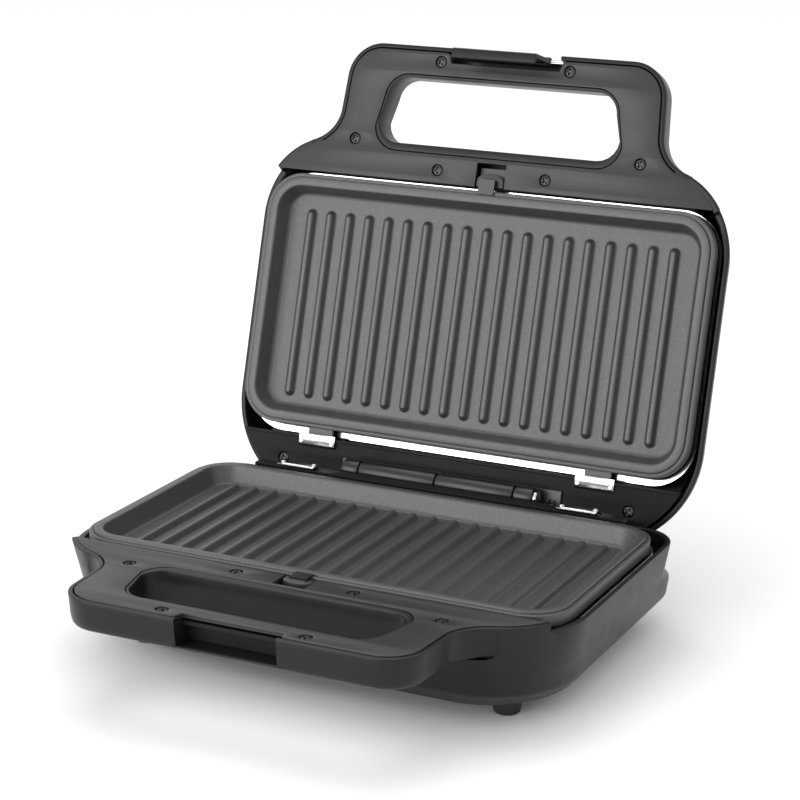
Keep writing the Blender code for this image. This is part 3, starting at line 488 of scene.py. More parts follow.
@dataclass
class Solid:
    """Half-frame points and faces of one or more closed bodies, ready to become a piece."""

    points: np.ndarray = field(default_factory=lambda: np.zeros((0, 3)))
    faces: list = field(default_factory=list)

    def add(self, points: np.ndarray, faces: list) -> "Solid":
        """Add a body's points and faces."""
        offset = len(self.points)
        self.points = np.concatenate([self.points, np.asarray(points, float).reshape(-1, 3)])
        self.faces += [[offset + i for i in face] for face in faces]
        return self

    def stack(self, levels: np.ndarray, closed: bool = False) -> "Solid":
        """Add a body made of rings."""
        return self.add(levels, ring_faces(levels.shape[0], levels.shape[1], closed))

    def bar(self, profile: list, start: float, end: float) -> "Solid":
        """Add a (d, h) profile carried along x."""
        section = np.asarray(profile, float)
        ends = [np.column_stack([np.full(len(section), x), section]) for x in (start, end)]
        return self.stack(np.array(ends))

    def block(self, xs: tuple, ds: tuple, hs: tuple) -> "Solid":
        """Add a box between two values of x, d and h, which a bevel then rounds."""
        return self.bar([(ds[0], hs[0]), (ds[1], hs[0]), (ds[1], hs[1]), (ds[0], hs[1])], *xs)

    def turned(self, profile: list, axis: str, centre: tuple, count: int = 40) -> "Solid":
        """Add a turned body: a closed (along, radius) profile spun about an axis.

        Args:
            profile: points along the axis and out from it, closed on itself unless it starts and
                ends at radius 0.
            axis: "x", "d" or "h".
            centre: the axis's place in the other two coordinates, in their order.
            count: steps round the axis.
        """
        along, radius = np.asarray(profile, float).T
        turns = np.linspace(0.0, 2 * np.pi, count, endpoint=False)
        a = centre[0] + radius[:, None] * np.cos(turns)
        b = centre[1] + radius[:, None] * np.sin(turns)
        c = np.broadcast_to(along[:, None], a.shape)
        order = {"x": (c, a, b), "d": (a, c, b), "h": (a, b, c)}[axis]
        solid = radius[0] < 1e-6
        return self.stack(np.stack(order, -1)[1:-1] if solid else np.stack(order, -1), not solid)

    def tube(self, path: np.ndarray, radius: float, count: int = 12) -> "Solid":
        """Add a round wire along a path: rings square to the path's run, turned as it turns."""
        path = np.asarray(path, float)
        run = np.gradient(path, axis=0)
        run /= np.linalg.norm(run, axis=1, keepdims=True)
        side = np.cross(run, (0.0, 0.3, 1.0))
        side /= np.linalg.norm(side, axis=1, keepdims=True)
        up = np.cross(side, run)
        turns = np.linspace(0.0, 2 * np.pi, count, endpoint=False)
        ring = side[:, None] * np.cos(turns)[:, None] + up[:, None] * np.sin(turns)[:, None]
        return self.stack(path[:, None] + ring * radius)

    def sheet(self, loops: list, low: float, high: float, edge: float) -> "Solid":
        """Add a flat sheet with holes and rounded edges, filled between closed outlines.

        Args:
            loops: outlines of (x, d) points, the outer one first.
            low: height of the underside.
            high: height of the upper face.
            edge: radius of the rounded edges.
        """
        curve = bpy.data.curves.new("outline", "CURVE")
        curve.dimensions = "2D"
        curve.fill_mode = "BOTH"
        curve.extrude = (high - low) / 2 - edge
        curve.bevel_depth = edge
        curve.bevel_resolution = 1
        curve.offset = -edge
        for loop in loops:
            spline = curve.splines.new("POLY")
            spline.points.add(len(loop) - 1)
            flat = np.column_stack([loop, np.zeros(len(loop)), np.ones(len(loop))])
            spline.points.foreach_set("co", flat.ravel())
            spline.use_cyclic_u = True
        holder = bpy.data.objects.new("outline", curve)
        bpy.context.scene.collection.objects.link(holder)
        graph = bpy.context.evaluated_depsgraph_get()
        mesh = bpy.data.meshes.new_from_object(holder.evaluated_get(graph))
        points = np.zeros(len(mesh.vertices) * 3)
        mesh.vertices.foreach_get("co", points)
        points = points.reshape(-1, 3) + (0.0, 0.0, (low + high) / 2)
        self.add(points, [list(face.vertices) for face in mesh.polygons])
        bpy.data.objects.remove(holder)
        bpy.data.curves.remove(curve)
        bpy.data.meshes.remove(mesh)
        return self

    def piece(self, name: str, half: Half, finish: str, body: str, stands_for: tuple = (),
              bevel: float = 0.0, sharp: float = 32.0) -> bpy.types.Object:
        """Make the object: place it, turn its faces out, dress it and let it ride.

        Args:
            name: the piece's name.
            half: the half that it belongs to.
            finish: key of its finish.
            body: the CAD body that it rides on.
            stands_for: the CAD nodes that it replaces.
            bevel: width of its rounded edges, in millimetres.
            sharp: edges bent by more than this, in degrees, stay sharp.

        Returns:
            The new object.
        """
        mesh = bpy.data.meshes.new(name)
        mesh.from_pydata(half.place(self.points).tolist(), [], self.faces)
        shape = bmesh.new()
        shape.from_mesh(mesh)
        bmesh.ops.remove_doubles(shape, verts=shape.verts, dist=2e-6)
        bmesh.ops.recalc_face_normals(shape, faces=shape.faces)
        shape.to_mesh(mesh)
        shape.free()
        mesh.shade_smooth()
        mesh.set_sharp_from_angle(angle=math.radians(sharp))
        mesh.materials.append(material(finish))
        thing = bpy.data.objects.new(name, mesh)
        bpy.context.scene.collection.objects.link(thing)
        if bevel:
            edge = thing.modifiers.new("edges", "BEVEL")
            edge.width = bevel * MM
            edge.segments = 2
            edge.limit_method = "ANGLE"
            edge.angle_limit = math.radians(35)
        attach(thing, body)
        if stands_for:
            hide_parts(*stands_for)
        LOG.info("%s: %d faces", name, len(mesh.polygons))
        return thing


# ---------------------------------------------------------------- housings

@dataclass(frozen=True)
class HandleShape:
    """The loop handle's outline and its window, shared by housing and cover."""

    half_width: float = 102.0
    front: float = 259.3
    corner: float = 22.0
    flare: tuple = (103.4, 216.0)
    fillet_corner: tuple = (106.0, 202.7)
    window_front: float = 240.0
    window_rear: float = 200.5
    window_half_front: float = 73.0
    window_half_rear: float = 77.0
    window_radius: float = 13.0
    lean: float = 4.0

    def front_run(self, notch: float) -> np.ndarray:
        """x of the points along the front edge, with a close pair at the end of the notch."""
        return np.array([0.0, 8.0, 16.0, 24.0, notch - 0.1, notch + 0.1, 44.0, 54.0, 66.0,
                         self.half_width - self.corner])

    def side_run(self, shoulder: np.ndarray) -> np.ndarray:
        """Right-hand side of the outer outline from the front corner to the shoulder."""
        start = (self.half_width, self.front - self.corner)
        return np.concatenate([line(start, self.flare, 5)[1:-1],
                               bend(self.flare, self.fillet_corner, shoulder, 15)])

    def outer(self, notch: float, shoulder: np.ndarray) -> np.ndarray:
        """Right-hand half of the outer outline from the middle of the front to the shoulder."""
        xs = self.front_run(notch)
        front = np.column_stack([xs, np.full(len(xs), self.front)])
        centre = (self.half_width - self.corner, self.front - self.corner)
        corner = arc(centre, (self.corner, self.corner), 90, 0, 15)[1:]
        return np.concatenate([front, corner, self.side_run(shoulder)])

    def window(self, grow: float, rear_grow: float, counts: tuple) -> np.ndarray:
        """Right-hand half of the window's outline, grown, with set numbers of points on each run.

        Args:
            grow: how far the outline is grown at its front and sides.
            rear_grow: and at its rear.
            counts: points on the front run, front corner, side, rear corner and rear run.
        """
        radius = self.window_radius + grow
        front, rear = self.window_front + grow, self.window_rear - rear_grow
        ahead = (self.window_half_front + grow - radius, front - radius)
        behind = (self.window_half_rear + grow - radius, rear + radius)
        first = arc(ahead, (radius, radius), 90, self.lean, counts[1] + 1)
        last = arc(behind, (radius, radius), -self.lean, -90, counts[3] + 1)
        return np.concatenate([
            line((0.0, front), first[0], counts[0]), first[1:],
            line(first[-1], last[0], counts[2] + 1)[1:], last[1:],
            line(last[-1], (0.0, rear), counts[4] + 1)[1:]])


@dataclass
class Housing:
    """One half's black shell: a drafted tub and a loop handle, both with real wall thickness."""

    half: Half
    half_width: float = 151.0
    front: float = 200.5
    corner: tuple = (46.0, 50.0)
    wall: float = 3.0
    rim: float = -0.4
    side_rim: float = -5.5
    step_d: float = 180.0
    covered: float = -3.4
    shoulder_angle: float = 70.0
    round_over: float = 0.8
    handle_depth: float = 18.0
    handle_wall: float = 2.6
    window_wall: float = 1.8
    ledge: float = 4.6
    handle: HandleShape = HandleShape()

    @property
    def notch(self) -> float:
        """Half-width of the notch at the front of the handle."""
        return 34.5 if self.half.is_lid else 29.0

    @property
    def levels(self) -> np.ndarray:
        """Rows of side inset, front inset, rear edge, rear corner radius and height."""
        if self.half.is_lid:
            return np.array([(0.0, 0.0, -20.0, 62.0, self.rim), (3.5, 3.0, -18.5, 60.0, -16.0),
                             (8.6, 8.6, -14.4, 56.4, -24.0), (22.0, 22.0, -2.0, 48.0, -28.5),
                             (60.0, 60.0, 34.0, 30.0, -28.5)])
        return np.array([(0.0, 0.0, 8.0, 24.0, self.rim), (5.0, 4.0, 8.0, 24.0, -27.0),
                         (6.0, 5.0, -6.0, 24.0, -31.0), (8.5, 10.0, -6.0, 21.0, -42.8),
                         (17.0, 20.0, 0.0, 16.0, -52.8), (50.0, 53.0, 30.0, 10.0, -52.8)])

    def shoulder(self) -> np.ndarray:
        """The point on the tub's front corner where the handle's fillet ends."""
        turn = math.radians(self.shoulder_angle)
        return np.array([self.half_width - self.corner[0] * (1 - math.cos(turn)),
                         self.front - self.corner[1] * (1 - math.sin(turn))])

    def tub_turns(self) -> tuple:
        """Angles round the front and rear corners, with close pairs where the rim steps."""
        centre = self.front - self.corner[1]
        step = math.degrees(math.asin((self.step_d - centre) / self.corner[1]))
        ends = (self.shoulder_angle + 0.1, self.shoulder_angle + 8.0, self.shoulder_angle + 8.3)
        front = np.array(sorted([*np.linspace(0, 90, 31), step - 0.2, step + 0.2, *ends]))[::-1]
        rear = np.linspace(0, -90, 25)
        return front, rear

    def tub_ring(self, inset: object, front_inset: object, rear: object, radius: object) -> np.ndarray:
        """The tub's outline at one level: elliptical front corners and round rear ones."""
        front_turns, rear_turns = (np.radians(t) for t in self.tub_turns())
        count = len(front_turns)
        rx, rd = self.corner
        take = lambda value, part: np.broadcast_to(value, count + len(rear_turns))[part]
        ahead, behind = slice(0, count), slice(count, None)
        wide = self.half_width - np.asarray(inset, float)
        deep = self.front - np.asarray(front_inset, float)
        first = np.column_stack([take(wide, ahead) - rx + rx * np.cos(front_turns),
                                 take(deep, ahead) - rd + rd * np.sin(front_turns)])
        spread = take(radius, behind)
        last = np.column_stack([take(wide, behind) - spread + spread * np.cos(rear_turns),
                                take(rear, behind) + spread + spread * np.sin(rear_turns)])
        return doubled(np.concatenate([first, last]))

    def tub_top(self) -> np.ndarray:
        """Rim height at each point of the right-hand half of the tub's outline."""
        front, rear = self.tub_turns()
        d = self.front - self.corner[1] * (1 - np.sin(np.radians(front)))
        top = np.where(d > self.step_d, self.rim, self.side_rim)
        top = np.where(front > self.shoulder_angle, self.rim - 0.06, top)
        top = np.where(front > self.shoulder_angle + 8.1, self.covered, top)
        return np.concatenate([top, np.full(len(rear), self.side_rim)])

    def wall_rows(self) -> np.ndarray:
        """The outer wall's levels below the first, with each corner between them rounded."""
        rows = self.levels
        made = []
        for before, here, after in zip(rows[:-2], rows[1:-1], rows[2:]):
            reach = np.array([4.0 if self.half.is_lid else 2.4])
            start = here + (before - here) * min(0.5, (reach / np.linalg.norm(before - here)).item())
            end = here + (after - here) * min(0.5, (reach / np.linalg.norm(after - here)).item())
            made.append(bend(start, here, end, 6))
        return np.concatenate(made)

    def tub(self) -> Solid:
        """The tub: floor, inner wall, rim and outer wall as one stack of rings."""
        top_right = self.tub_top()
        top = np.concatenate([top_right, top_right[::-1]])
        rows, draft = self.wall_rows(), self.levels
        wall = self.wall
        floor = self.levels[-2]
        half_top = lambda drop: np.interp(-(top_right - drop), -draft[:2, 4], np.arange(2.0))

        def ring(inset: float, drop: float) -> tuple:
            """One ring of the rim, inset from the outer wall and below the rim's top."""
            share = half_top(drop)
            side, ahead, rear, radius = (draft[0, k] + (draft[1, k] - draft[0, k]) * share for k in range(4))
            return self.tub_ring(side + inset, ahead + inset, rear + inset, radius - inset), top - drop

        levels = [(self.tub_ring(floor[0] + wall, floor[1] + wall, floor[2] + wall, floor[3] - wall),
                   floor[4] + wall)]
        for row in self.levels[-3:0:-1]:
            levels.append((self.tub_ring(row[0] + wall, row[1] + wall, row[2] + wall, row[3] - wall),
                           np.minimum(row[4] + 1.0, top - 1.0)))
        levels += [ring(wall, 0.3), ring(wall - 0.3, 0.0), ring(self.round_over, 0.0),
                   ring(self.round_over * 0.3, self.round_over * 0.3), ring(0.0, self.round_over)]
        for row in rows:
            levels.append((self.tub_ring(*row[:4]), np.minimum(row[4], top - self.round_over - 0.1)))
        return Solid().stack(rings(levels))

    def loop_paths(self) -> tuple:
        """Matching outer and window outlines of the handle, and the height of its top edge."""
        shoulder = self.shoulder()
        outer = self.handle.outer(self.notch, shoulder)
        front_count = len(self.handle.front_run(self.notch))
        side_count = len(outer) - front_count - 14
        root = line(shoulder, (112.0, 186.0), 6)[1:]
        back = line((106.0, 181.5), (0.0, 181.5), 8)
        hidden = np.concatenate([root, back])
        counts = (front_count, 14, side_count, len(root), len(back))
        floor = -self.handle_depth + self.handle_wall
        top = np.concatenate([np.full(len(outer), self.rim), np.full(len(hidden), self.covered)])
        in_notch = (np.arange(len(top)) < front_count) & (np.append(outer[:, 0], hidden[:, 0]) < self.notch)
        top[in_notch] = -13.0 if self.half.is_lid else floor + 0.1
        return mirrored(np.concatenate([outer, hidden])), counts, np.concatenate([top, top[::-1][1:-1]])

    def loop(self) -> Solid:
        """The loop handle: a hollow channel whose section runs from outer wall to window wall."""
        outer, counts, top = self.loop_paths()
        depth, wall = self.handle_depth, self.handle_wall
        heights = np.array([-depth, -depth + 0.3, -depth + 1.0, -depth + 2.2, -depth + 5.0, self.rim])
        insets = np.array([6.0, 4.0, 2.7, 1.8, 1.1, 0.0])
        rows = []

        def outside(inset: float, height: np.ndarray) -> None:
            """A ring on the outer side, drawn in by the wall's own draft at its height."""
            draft = np.interp(height, heights, insets)
            rows.append((grown(outer, draft + inset), height))

        def inside(grow: float, rear_grow: float, height: float) -> None:
            """A ring round the window."""
            rows.append((mirrored(self.handle.window(grow, rear_grow, counts)), height))

        rows.append((grown(outer, wall + 0.6), -depth + wall))
        outside(wall, top - 0.3)
        outside(wall - 0.3, top)
        outside(self.round_over, top)
        outside(self.round_over * 0.3, top - self.round_over * 0.3)
        for share in (0.0, 0.3, 0.6, 1.0):
            start = top - self.round_over
            outside(0.0, np.minimum(start + (-depth + 5.0 - start) * share, start - 0.02 * share))
        for height in heights[3::-1]:
            outside(0.0, np.minimum(height, top - self.round_over - 0.1))
        inside(1.6, 1.6, -depth)
        inside(0.5, 0.5, -depth + 0.3)
        inside(0.0, 0.0, -depth + 1.2)
        inside(0.0, 0.0, self.rim - 0.8)
        inside(0.22, 0.22, self.rim - 0.25)
        inside(0.8, 0.8, self.rim)
        inside(self.window_wall - 0.2, self.ledge - 0.2, self.rim)
        inside(self.window_wall, self.ledge, self.rim - 0.3)
        inside(self.window_wall, self.ledge, -depth + wall)
        return Solid().stack(rings(rows), closed=True)

    def build(self) -> None:
        """Make the tub and the handle."""
        name, body = self.half.name, self.half.name
        self.tub().piece(f"{name}_tub", self.half, "shell", body, (f"{name}_housing",))
        self.loop().piece(f"{name}_loop_handle", self.half, "shell", body, (f"{name}_housing",))
        if not self.half.is_lid:
            self.catch_shelf().piece("base_catch_shelf", self.half, "strip", body, ("base_housing",), 0.3)

    def catch_shelf(self) -> Solid:
        """The shelf that the latch hooks under, its back wall and the cheeks at its ends."""
        end = self.notch + 2.6
        floor = -self.handle_depth + self.handle_wall - 0.5
        shelf = Solid().bar([(243.2, floor), (245.6, floor), (245.6, -6.4), (250.4, -6.4),
                             (250.4, -4.0), (243.2, -4.0)], -end + 1.0, end - 1.0)
        for side in (-1, 1):
            shelf.block(tuple(sorted((side * self.notch, side * end))), (244.0, 257.8), (floor, -3.2))
        return shelf


# ---------------------------------------------------------------- covers, strips and screws

@dataclass
class Cover:
    """The flat satin cover over the handle, with recessed screws."""

    housing: Housing
    thick: float = 2.6
    inset: float = 3.3
    rear: float = 178.7
    window_rear: float = 195.5
    notch_edge: float = 250.0
    button_half: float = 9.3
    button_front: float = 193.0
    edge: float = 0.35
    recess: float = 1.8
    screws: tuple = ((41.2, 250.4), (91.5, 200.7), (34.6, 186.3))

    def outline(self) -> np.ndarray:
        """The cover's edge: the housing's outline drawn in, cut straight beside the plate."""
        house = self.housing
        notch = house.notch
        outer = house.handle.outer(notch, house.shoulder())
        rx, rd = house.corner
        centre = (house.half_width - rx, house.front - rd)
        corner = arc(centre, house.corner, house.shoulder_angle, 25.0, 24)[1:]
        side = grown(mirrored(np.concatenate([outer, corner, [(0.0, 0.0)]])), self.inset)
        side = side[:len(outer) + len(corner)]
        side = side[(side[:, 0] > notch + 2.0) & (side[:, 1] > self.rear)]
        last = (side[-1][0] + 0.4, self.rear)
        front = side[0][1]
        head = [(0.0, self.notch_edge), (notch, self.notch_edge), (notch + 1.6, front - 1.4),
                (notch + 1.9, front - 0.5), (notch + 2.8, front)]
        tail = [last, (self.button_half, self.rear), (self.button_half, self.button_front),
                (0.0, self.button_front)]
        keep = side[side[:, 0] > notch + 3.0]
        return mirrored(np.concatenate([np.array(head), keep, np.array(tail)]))

    def build(self) -> None:
        """Make the cover from two layers, so that each screw has a seat, and its screws."""
        half, house = self.housing.half, self.housing
        grow = house.window_wall + 0.4
        hole = mirrored(house.handle.window(grow, house.front - self.window_rear, (3, 12, 3, 12, 3)))
        places = [(side * x, d) for x, d in self.screws for side in (-1, 1)]
        wide, narrow = round_holes(places, SCREW_SEAT, 24), round_holes(places, SCREW_HOLE, 12)
        outline = self.outline()
        sheet = Solid().sheet([outline, hole, *wide], -self.recess, 0.0, self.edge)
        sheet.sheet([outline, hole, *narrow], -self.thick, -self.recess - 0.02, 0.1)
        sheet.piece(f"{half.name}_satin_cover", half, "cover", half.name, (f"{half.name}_handle_cover",))
        for number, place in enumerate(places, 1):
            screw(half, half.name, f"{half.name}_cover_screw_{number}", place, 37.0 * number)


def screw(half: Half, body: str, node: str, place: tuple, turn: float, top: float = -0.25,
          radius: float = 3.2) -> None:
    """A pan-head screw with a cross recess.

    The head's height falls with the square of the distance from its axis, and the recess is cut
    where the distance to either arm of the cross is small.

    Args:
        half: the half that it is screwed into.
        body: the CAD body that it rides on.
        node: the CAD node that it replaces.
        place: its axis, (x, d).
        turn: angle of the cross, in degrees.
        top: height of the crown.
        radius: of the head.
    """
    angles = np.radians(np.arange(0, 360, 6) + turn)
    radii = np.concatenate([np.linspace(0.12, 2.1, 12), [2.4, 2.8, 3.0, 3.14, 3.2]]) * radius / 3.2
    share = radii / radius
    fall = 0.55 * share ** 2 + 0.35 * np.clip((share - 0.86) / 0.14, 0, 1) ** 2
    r, a = np.meshgrid(radii, angles - math.radians(turn), indexing="ij")
    across, along = np.abs(r * np.cos(a)), np.abs(r * np.sin(a))
    arm = np.minimum(np.maximum(across / 0.55, along / 1.75), np.maximum(along / 0.55, across / 1.75))
    cut = 1.5 * np.clip((1.25 - arm) / 0.35, 0, 1) * (1 - 0.45 * r / radius)
    x = place[0] + radii[:, None] * np.cos(angles)
    d = place[1] + radii[:, None] * np.sin(angles)
    head = np.stack([x, d, top - fall[:, None] - cut], -1)
    rim = head[-1]
    lower = [rim * (1, 1, 0) + (0, 0, top - 1.5)]
    shank = [np.column_stack([place[0] + s * np.cos(angles), place[1] + s * np.sin(angles),
                              np.full(len(angles), h)]) for s, h in ((1.4, top - 1.5), (1.4, top - 8.0))]
    levels = np.concatenate([head, np.array(lower + shank)])
    Solid().stack(levels).piece(node + "_head", half, "screw", body, (node,), sharp=40.0)


@dataclass
class Strips:
    """Black strips behind the plates."""

    base: Half
    lid: Half
    edge: float = 18.6
    thick: float = 3.0

    def lid_strip(self) -> None:
        """The lid's strip follows the round rear of the lid and ends in a low lip."""
        radius = 57.0
        centre = (89.0, 42.0)
        start = -math.degrees(math.asin((centre[1] - self.edge) / radius))
        side = arc(centre, (radius, radius), start, -90, 26)
        right = np.concatenate([[(0.0, self.edge)], side, [(0.0, centre[1] - radius)]])
        places = [(-112.0, 3.3), (112.0, 3.3)]
        wide, narrow = round_holes(places, SCREW_SEAT, 24), round_holes(places, SCREW_HOLE, 12)
        sheet = Solid().sheet([mirrored(right), *wide], -1.8, 0.0, 0.35)
        sheet.sheet([mirrored(right), *narrow], -self.thick, -1.82, 0.1)
        reach = side[0][0] - 1.0
        lip = [(self.edge - 1.7, -1.0), (self.edge, -1.0), (self.edge, 0.6), (self.edge - 0.3, 0.95),
               (self.edge - 0.8, 1.05), (self.edge - 1.4, 0.9), (self.edge - 1.7, 0.5)]
        sheet.bar(lip, -reach, reach)
        sheet.piece("lid_closing_strip", self.lid, "strip", "lid", ("lid_rear_strip",))
        for word, place, turn in (("left", places[0], 20.0), ("right", places[1], 65.0)):
            screw(self.lid, "lid", f"lid_strip_screw_{word}", place, turn)

    def base_strip(self) -> None:
        """The base's strip is a narrow bar over the rear wall."""
        outline = np.array([(-118.0, 11.4), (118.0, 11.4), (118.0, self.edge), (-118.0, self.edge)])
        places = [(-100.0, 14.9), (100.0, 14.9)]
        wide = round_holes(places, SCREW_SEAT - 0.15, 24)
        sheet = Solid().sheet([outline, *wide], -self.thick, 0.0, 0.3)
        sheet.piece("base_closing_strip", self.base, "strip", "base", ("base_rear_strip",))
        for word, place, turn in (("left", places[0], 50.0), ("right", places[1], 10.0)):
            screw(self.base, "base", f"base_strip_screw_{word}", place, turn, radius=3.1)

    def build(self) -> None:
        """Make both strips."""
        self.lid_strip()
        self.base_strip()


# ---------------------------------------------------------------- grill plates and pans

@dataclass
class GrillPlate:
    """A cast, coated grill plate: skirt, flange, groove, lip, sloping wall, floor and ribs."""

    half: Half
    rise: float
    half_width: float = 143.5
    front: float = 176.5
    rear: float = 24.0
    radius: float = 23.0
    depth: float = 11.0
    rib_count: int = 19
    pitch: float = 13.0
    rib_front: float = 155.5
    rib_rear: float = 41.0
    rib_half: float = 3.1
    least_radius: float = 6.0
    floor_inset: float = 12.6
    skin: float = 3.0
    lug_x: float = 90.0
    lug_half: float = 8.0
    lug_tip: float = 19.3
    tilt_h: float = -2.6

    def ring(self, inset: float) -> np.ndarray:
        """The plate's outline, drawn in."""
        radius = max(self.radius - inset, self.least_radius)
        return rounded(self.half_width - inset, self.front - inset, self.rear + inset, radius, 17)

    def frame_body(self) -> Solid:
        """The rim: a closed section of insets and drops below the lip, carried round the plate."""
        section = ((0.0, 7.5), (0.0, 1.7), (0.12, 1.35), (0.45, 1.2), (2.0, 1.2), (2.25, 1.75),
                   (2.5, 1.75), (2.6, 0.45), (2.75, 0.12), (3.1, 0.0), (6.7, 0.0), (7.25, 0.1),
                   (7.7, 0.45), (8.0, 1.1), (10.6, 8.9), (11.2, 10.1), (12.1, 10.75), (13.3, 11.0),
                   (14.6, 11.05), (14.6, 14.0), (8.7, 14.0), (4.6, 2.9), (2.4, 3.6), (2.4, 7.5))
        return Solid().stack(rings([(self.ring(i), self.rise - drop) for i, drop in section]), closed=True)

    def rib_height(self, x: np.ndarray, d: np.ndarray) -> np.ndarray:
        """Height over the floor: the distance to the nearest rib's middle line, through its section."""
        number = np.clip(np.round(x / self.pitch), -(self.rib_count // 2), self.rib_count // 2)
        along = np.clip(d, self.rib_rear + self.rib_half, self.rib_front - self.rib_half)
        distance = np.hypot(x - number * self.pitch, d - along)
        reach = (0.0, 0.9, 1.25, 1.55, 1.95, 2.85, 3.15, 3.45, 3.9)
        height = (3.5, 3.48, 3.36, 3.08, 2.35, 0.55, 0.22, 0.06, 0.0)
        return np.interp(distance, reach, height)

    def floor_body(self) -> Solid:
        """The floor: a height field over (x, d), closed below, its edge inside the rim's wall."""
        offsets = np.array([-4.0, -3.6, -3.25, -2.9, -2.4, -1.95, -1.6, -1.25, -0.8, 0.0,
                            0.8, 1.25, 1.6, 1.95, 2.4, 2.9, 3.25, 3.6, 4.0])
        numbers = np.arange(self.rib_count) - self.rib_count // 2
        xs = np.unique(np.round((numbers[:, None] * self.pitch + offsets).ravel(), 4))
        edge = self.half_width - self.floor_inset
        low, high = self.rear + self.floor_inset, self.front - self.floor_inset
        tip = np.concatenate([np.linspace(-0.9, 3.2, 14), [3.6, 6.0]])
        ds = np.concatenate([[low, low + 1.5], self.rib_rear + tip, np.linspace(54, 142, 5),
                             (self.rib_front - tip)[::-1], [high - 1.5, high]])
        radius = self.radius - self.floor_inset
        past = np.clip(np.maximum(low + radius - ds, ds - (high - radius)), 0, radius)
        reach = edge - radius + np.sqrt(radius ** 2 - past ** 2)
        inner = np.broadcast_to(xs, (len(ds), len(xs)))
        left, right = -reach[:, None], reach[:, None]
        x = np.concatenate([left, (left + xs[0]) / 2, inner, (right + xs[-1]) / 2, right], 1)
        d = np.broadcast_to(ds[:, None], x.shape)
        top = np.stack([x, d, self.rise - self.depth + self.rib_height(x, d)], -1)
        below = top.copy()
        below[..., 2] = self.rise - self.depth - self.skin
        rows, cols = x.shape
        number = np.arange(rows * cols).reshape(rows, cols)
        corners = [number[:-1, :-1], number[:-1, 1:], number[1:, 1:], number[1:, :-1]]
        quads = np.stack(corners, -1).reshape(-1, 4)
        around = np.concatenate([number[0, :-1], number[:-1, -1], number[-1, :0:-1], number[:0:-1, 0]])
        under = around + rows * cols
        side = np.stack([around, np.roll(around, -1), np.roll(under, -1), under], -1)
        faces = quads.tolist() + side.tolist() + [under.tolist()]
        used = np.concatenate([top.reshape(-1, 3), below.reshape(-1, 3)])
        keep = np.unique(np.concatenate([number.ravel(), under]))
        renumber = np.zeros(len(used), int)
        renumber[keep] = np.arange(len(keep))
        return Solid().add(used[keep], [renumber[face].tolist() for face in faces])

    def build(self) -> None:
        """Make the plate with its two rear lugs."""
        body = f"{self.half.name}_grill"
        plate = self.frame_body()
        floor = self.floor_body()
        plate.add(floor.points, floor.faces)
        for x in (-self.lug_x, self.lug_x):
            plate.block((x - self.lug_half, x + self.lug_half), (self.lug_tip, self.rear + 1.5),
                        (self.tilt_h - 0.9, self.tilt_h + 0.9))
        plate.piece(f"{self.half.name}_grill_plate", self.half, "coating", body,
                    (f"{self.half.name}_plate",), sharp=50.0)


@dataclass
class Pan:
    """The bright reflector below a plate, pressed from thin sheet."""

    half: Half
    floor: float
    top: float = -8.2
    half_width: float = 144.6
    front: float = 178.0
    rear: float = 19.2
    flange: float = 6.4
    run: float = 7.6
    sheet: float = 0.8
    end_run: float = 0.8

    def ring(self, inset: float, radius: float) -> np.ndarray:
        """The pan's outline, drawn in."""
        end = inset * self.end_run
        return rounded(self.half_width - inset, self.front - end, self.rear + end, radius, 15)

    def build(self) -> None:
        """Make the pan: floor, wall and flange above, then the same below."""
        low, inner = self.floor, self.flange + self.run
        above = [(inner + 4.0, 11, low), (inner + 1.0, 12.5, low + 0.15), (inner, 13, low + 0.9),
                 (self.flange + 0.3, 17, self.top - 1.0), (self.flange - 0.6, 17.4, self.top - 0.2),
                 (self.flange - 1.8, 18, self.top), (0.2, 25.9, self.top)]
        below = [(0.0, 26, self.top - 0.2), (0.0, 26, self.top - self.sheet),
                 (self.flange - self.sheet, 17, self.top - self.sheet),
                 (inner - 0.2, 13, low - self.sheet + 0.4), (inner + 1.0, 12.5, low - self.sheet)]
        levels = [(self.ring(inset, radius), height) for inset, radius, height in above + below]
        Solid().stack(rings(levels)).piece(f"{self.half.name}_bright_pan", self.half, "pan",
                                           self.half.name, (f"{self.half.name}_reflector",))


@dataclass
class PlateClips:
    """Sprung steel clips over the plate's rear lugs: a folded strip and a bent wire."""

    half: Half
    lug_x: float = 90.0
    reach: float = 12.0

    def build(self) -> None:
        """Make the left and right clip."""
        for side, word in ((-1, "left"), (1, "right")):
            x = side * self.lug_x
            clip = Solid()
            clip.bar([(12.3, 0.35), (13.2, 0.35), (13.5, 0.9), (14.2, 1.35), (20.2, 1.35), (20.2, 2.0),
                      (13.8, 2.0), (12.8, 1.4)], x - self.reach, x + self.reach)
            for end in (x - self.reach + 1.8, x + self.reach - 1.8):
                clip.turned([(0.9, 0), (0.9, 1.5), (2.3, 1.5), (2.7, 1.1), (2.8, 0), (2.8, 0)], "h",
                            (end, 15.2), 20)
            wire = np.array([(x - self.reach + 3.0, 19.3, 2.2), (x - 4.0, 19.5, 2.3),
                             (x + 4.0, 19.5, 2.3), (x + self.reach - 3.0, 19.3, 2.2)])
            clip.tube(wire, 0.55)
            name = f"{self.half.name}_plate_clip_{word}"
            clip.piece(name + "_spring", self.half, "steel", self.half.name, (name,), 0.12)


# ---------------------------------------------------------------- moving fittings

